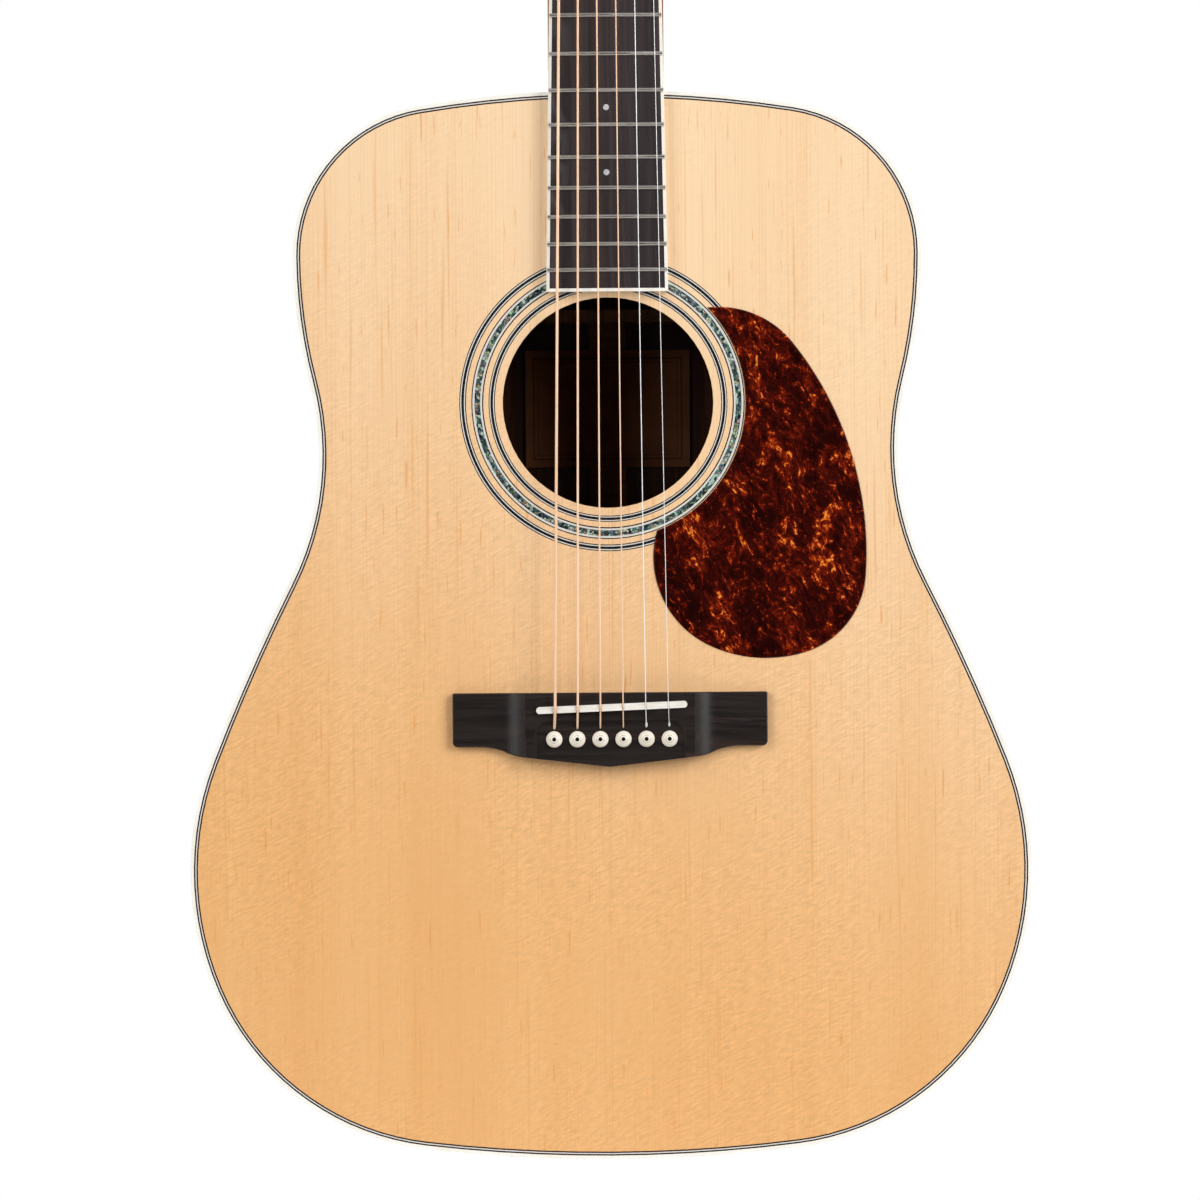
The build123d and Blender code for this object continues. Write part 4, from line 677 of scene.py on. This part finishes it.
def winding(number):
    """The turns of one string round its post, above the hole it comes in at."""
    index = 6 - number
    radius = STRING_DIAMETERS[index] / 2
    side = -1 if index < 3 else 1
    row = POST_ROWS[min(index, 5 - index)]
    pitch = 2 * radius + WINDING_GAP
    turns = min(WINDING_TURNS, WINDING_HEIGHT / pitch)
    reach = POST_WAIST_R + radius + WINDING_CLEARANCE
    points = []
    steps = int(turns * WINDING_STEPS)
    # The string meets the post on its inner side and winds down towards the headstock.
    start = math.pi if side > 0 else 0.0
    for step in range(steps + 1):
        share = step / steps
        angle = start - side * 2 * math.pi * turns * share
        height = STRING_HOLE_Y + WINDING_ABOVE_HOLE + pitch * turns * share
        points.append(head_place(side * POST_X + reach * math.cos(angle), height,
                                 row + reach * math.sin(angle)))
    slot = "string_bronze" if index < 4 else "string_steel"
    add_mesh("string_winding_%d" % number, tube(points, radius), FINISHES[slot],
             "string_post_%d" % number)


def pin_fall(radius):
    """How far the pin's domed head has dropped below its top at a radius."""
    curve = (PIN_DOME_R**2 + PIN_DOME_RISE**2) / (2 * PIN_DOME_RISE)
    return curve - math.sqrt(curve**2 - radius**2)


def pin_piece(number, name, profile, finish):
    """A turned piece let into the head of a bridge pin."""
    low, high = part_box("bridge_pin_%d" % number)
    centre = Vector(((low.x + high.x) / 2, low.y, (low.z + high.z) / 2))
    mesh = turned(profile)
    mesh.transform(Matrix.Translation(centre) @ Matrix.Rotation(math.pi / 2, 4, "X"))
    add_mesh("%s_%d" % (name, number), mesh, FINISHES[finish], "bridge_pin_%d" % number)


def pin_dot(number):
    """Black dot let into the head of a bridge pin, and the fine ring round it."""
    dot = [(0, -LET_IN), (DOT_R, -LET_IN), (DOT_R, -pin_fall(DOT_R) - DOT_EDGE_DROP),
           (0.95 * DOT_R, -pin_fall(DOT_R) + DOT_PROUD),
           (0.5 * DOT_R, -pin_fall(DOT_R / 2) + DOT_PROUD), (0, DOT_PROUD)]
    pin_piece(number, "pin_dot", dot, "dot_black")
    inner, outer = EYELET_R - EYELET_W, EYELET_R
    ring = [(inner, -LET_IN), (outer, -LET_IN), (outer, -pin_fall(outer) + DOT_PROUD),
            (inner, -pin_fall(inner) + DOT_PROUD), (inner, -LET_IN)]
    pin_piece(number, "pin_eyelet", ring, "eyelet_grey")


def lock_twist(number):
    """The twist that closes a plain string's loop, just above its pin."""
    index = 6 - number
    radius = STRING_DIAMETERS[index] / 2
    start, end = (Vector(point) * MM for point in STRING_AFTER_SADDLE[index])
    along = (end - start).normalized()
    side = along.orthogonal().normalized()
    other = along.cross(side)
    begin = start + along * TWIST_START
    points = []
    steps = TWIST_TURNS * TWIST_STEPS
    for step in range(steps + 1):
        share = step / steps
        angle = 2 * math.pi * TWIST_TURNS * share
        reach = radius + TWIST_WIRE_R * (1.0 + 1.1 * math.sin(math.pi * share))
        points.append(begin + along * (TWIST_LENGTH * share)
                      + (side * math.cos(angle) + other * math.sin(angle)) * reach)
    add_mesh("string_twist_%d" % number, tube(points, TWIST_WIRE_R, 8), FINISHES["string_steel"],
             "root")


def button_screw(number):
    """Small domed screw, dimpled in the middle, that holds a tuner's button on its shaft."""
    low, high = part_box("tuner_button_%d" % number)
    out = 1 if number <= 3 else -1
    end = high.x if out > 0 else low.x
    centre = Vector((end + out * SCREW_PROUD, (low.y + high.y) / 2, (low.z + high.z) / 2))
    mesh = turned([(radius * MM, height * MM) for radius, height in SCREW_PROFILE])
    mesh.transform(Matrix.Translation(centre) @ Matrix.Rotation(out * math.pi / 2, 4, "Y"))
    add_mesh("button_screw_%d" % number, mesh, FINISHES["screw_chrome"],
             "tuner_button_%d" % number)


for string_number in range(1, 7):
    winding(string_number)
    pin_dot(string_number)
    button_screw(string_number)
for string_number in (1, 2):
    lock_twist(string_number)


# --------------------------------------------------------------- camera, floor, light
def make_camera():
    data = bpy.data.cameras.new("camera")
    data.sensor_width = SENSOR
    data.lens = SENSOR * CAMERA_DISTANCE / CAMERA_FIELD
    data.clip_start = 0.05
    data.clip_end = 50.0
    camera = bpy.data.objects.new("camera", data)
    bpy.context.scene.collection.objects.link(camera)
    square_on = Matrix.Rotation(math.pi / 2, 4, "X") @ Matrix.Rotation(CAMERA_ROLL, 4, "Z")
    place = CAMERA_AIM - Vector((0, CAMERA_DISTANCE, 0))
    camera.matrix_world = Matrix.Translation(place) @ square_on
    bpy.context.scene.camera = camera


def make_floor():
    """Pale floor a little below the hanging guitar, fading out before its edge shows."""
    shape = bmesh.new()
    bmesh.ops.create_circle(shape, cap_ends=True, segments=96, radius=FLOOR_RADIUS)
    mesh = bpy.data.meshes.new("floor")
    shape.to_mesh(mesh)
    shape.free()
    floor = bpy.data.objects.new("floor", mesh)
    floor.location = (0, 0, CAD_BOX[0][2] - FLOOR_DROP)
    bpy.context.scene.collection.objects.link(floor)
    f = Finish("floor_white", roughness=0.9, specular=0.0)
    grain = f.noise(f.stretched((3.0, 3.0, 3.0)), detail=2.0)
    dark, light = ((grey, grey, grey, 1.0) for grey in FLOOR_GREYS)
    f.done(f.ramp(grain, [(0.3, dark), (0.7, light)]))
    f.shader.inputs["Emission Color"].default_value = (1.0, 1.0, 1.0, 1.0)
    f.shader.inputs["Emission Strength"].default_value = FLOOR_GLOW
    away = f.reach(f.axis("X"), f.axis("Y"))
    f.put(f.spread(away, *FLOOR_FADE, 1.0, 0.0), f.shader.inputs["Alpha"])
    mesh.materials.append(f.material)


def make_light(name, place, width, height, power):
    data = bpy.data.lights.new(name, "AREA")
    data.shape = "RECTANGLE"
    data.size, data.size_y = width, height
    data.energy = power
    light = bpy.data.objects.new(name, data)
    light.location = place
    light.rotation_mode = "QUATERNION"
    light.rotation_quaternion = (Vector(LIGHT_AIM) - Vector(place)).to_track_quat("-Z", "Y")
    light.visible_camera = False
    bpy.context.scene.collection.objects.link(light)


def make_world():
    """White surroundings, dimmer for the light they cast, and dark behind the camera."""
    world = bpy.data.worlds.new("studio")
    world.use_nodes = True
    bpy.context.scene.world = world
    nodes, links = world.node_tree.nodes, world.node_tree.links
    background = nodes["Background"]
    heading = nodes.new("ShaderNodeTexCoord").outputs["Generated"]
    facing = nodes.new("ShaderNodeVectorMath")
    facing.operation = "DOT_PRODUCT"
    links.new(heading, facing.inputs[0])
    facing.inputs[1].default_value = (0.0, -1.0, 0.0)
    dark = nodes.new("ShaderNodeMapRange")
    dark.interpolation_type = "SMOOTHSTEP"
    links.new(facing.outputs["Value"], dark.inputs["Value"])
    for end, number in (("From Min", WORLD_DARK_SPAN[0]), ("From Max", WORLD_DARK_SPAN[1]),
                        ("To Min", WORLD_LIGHT), ("To Max", WORLD_DARK)):
        dark.inputs[end].default_value = number
    seen = nodes.new("ShaderNodeMix")
    seen.data_type = "FLOAT"
    links.new(nodes.new("ShaderNodeLightPath").outputs["Is Camera Ray"], seen.inputs[0])
    links.new(dark.outputs["Result"], seen.inputs[2])
    seen.inputs[3].default_value = 1.0
    background.inputs["Color"].default_value = (1.0, 1.0, 1.0, 1.0)
    links.new(seen.outputs[0], background.inputs["Strength"])


make_camera()
make_floor()
make_world()
for light in LIGHTS:
    make_light(*light)
bpy.context.scene.view_settings.view_transform = "Standard"
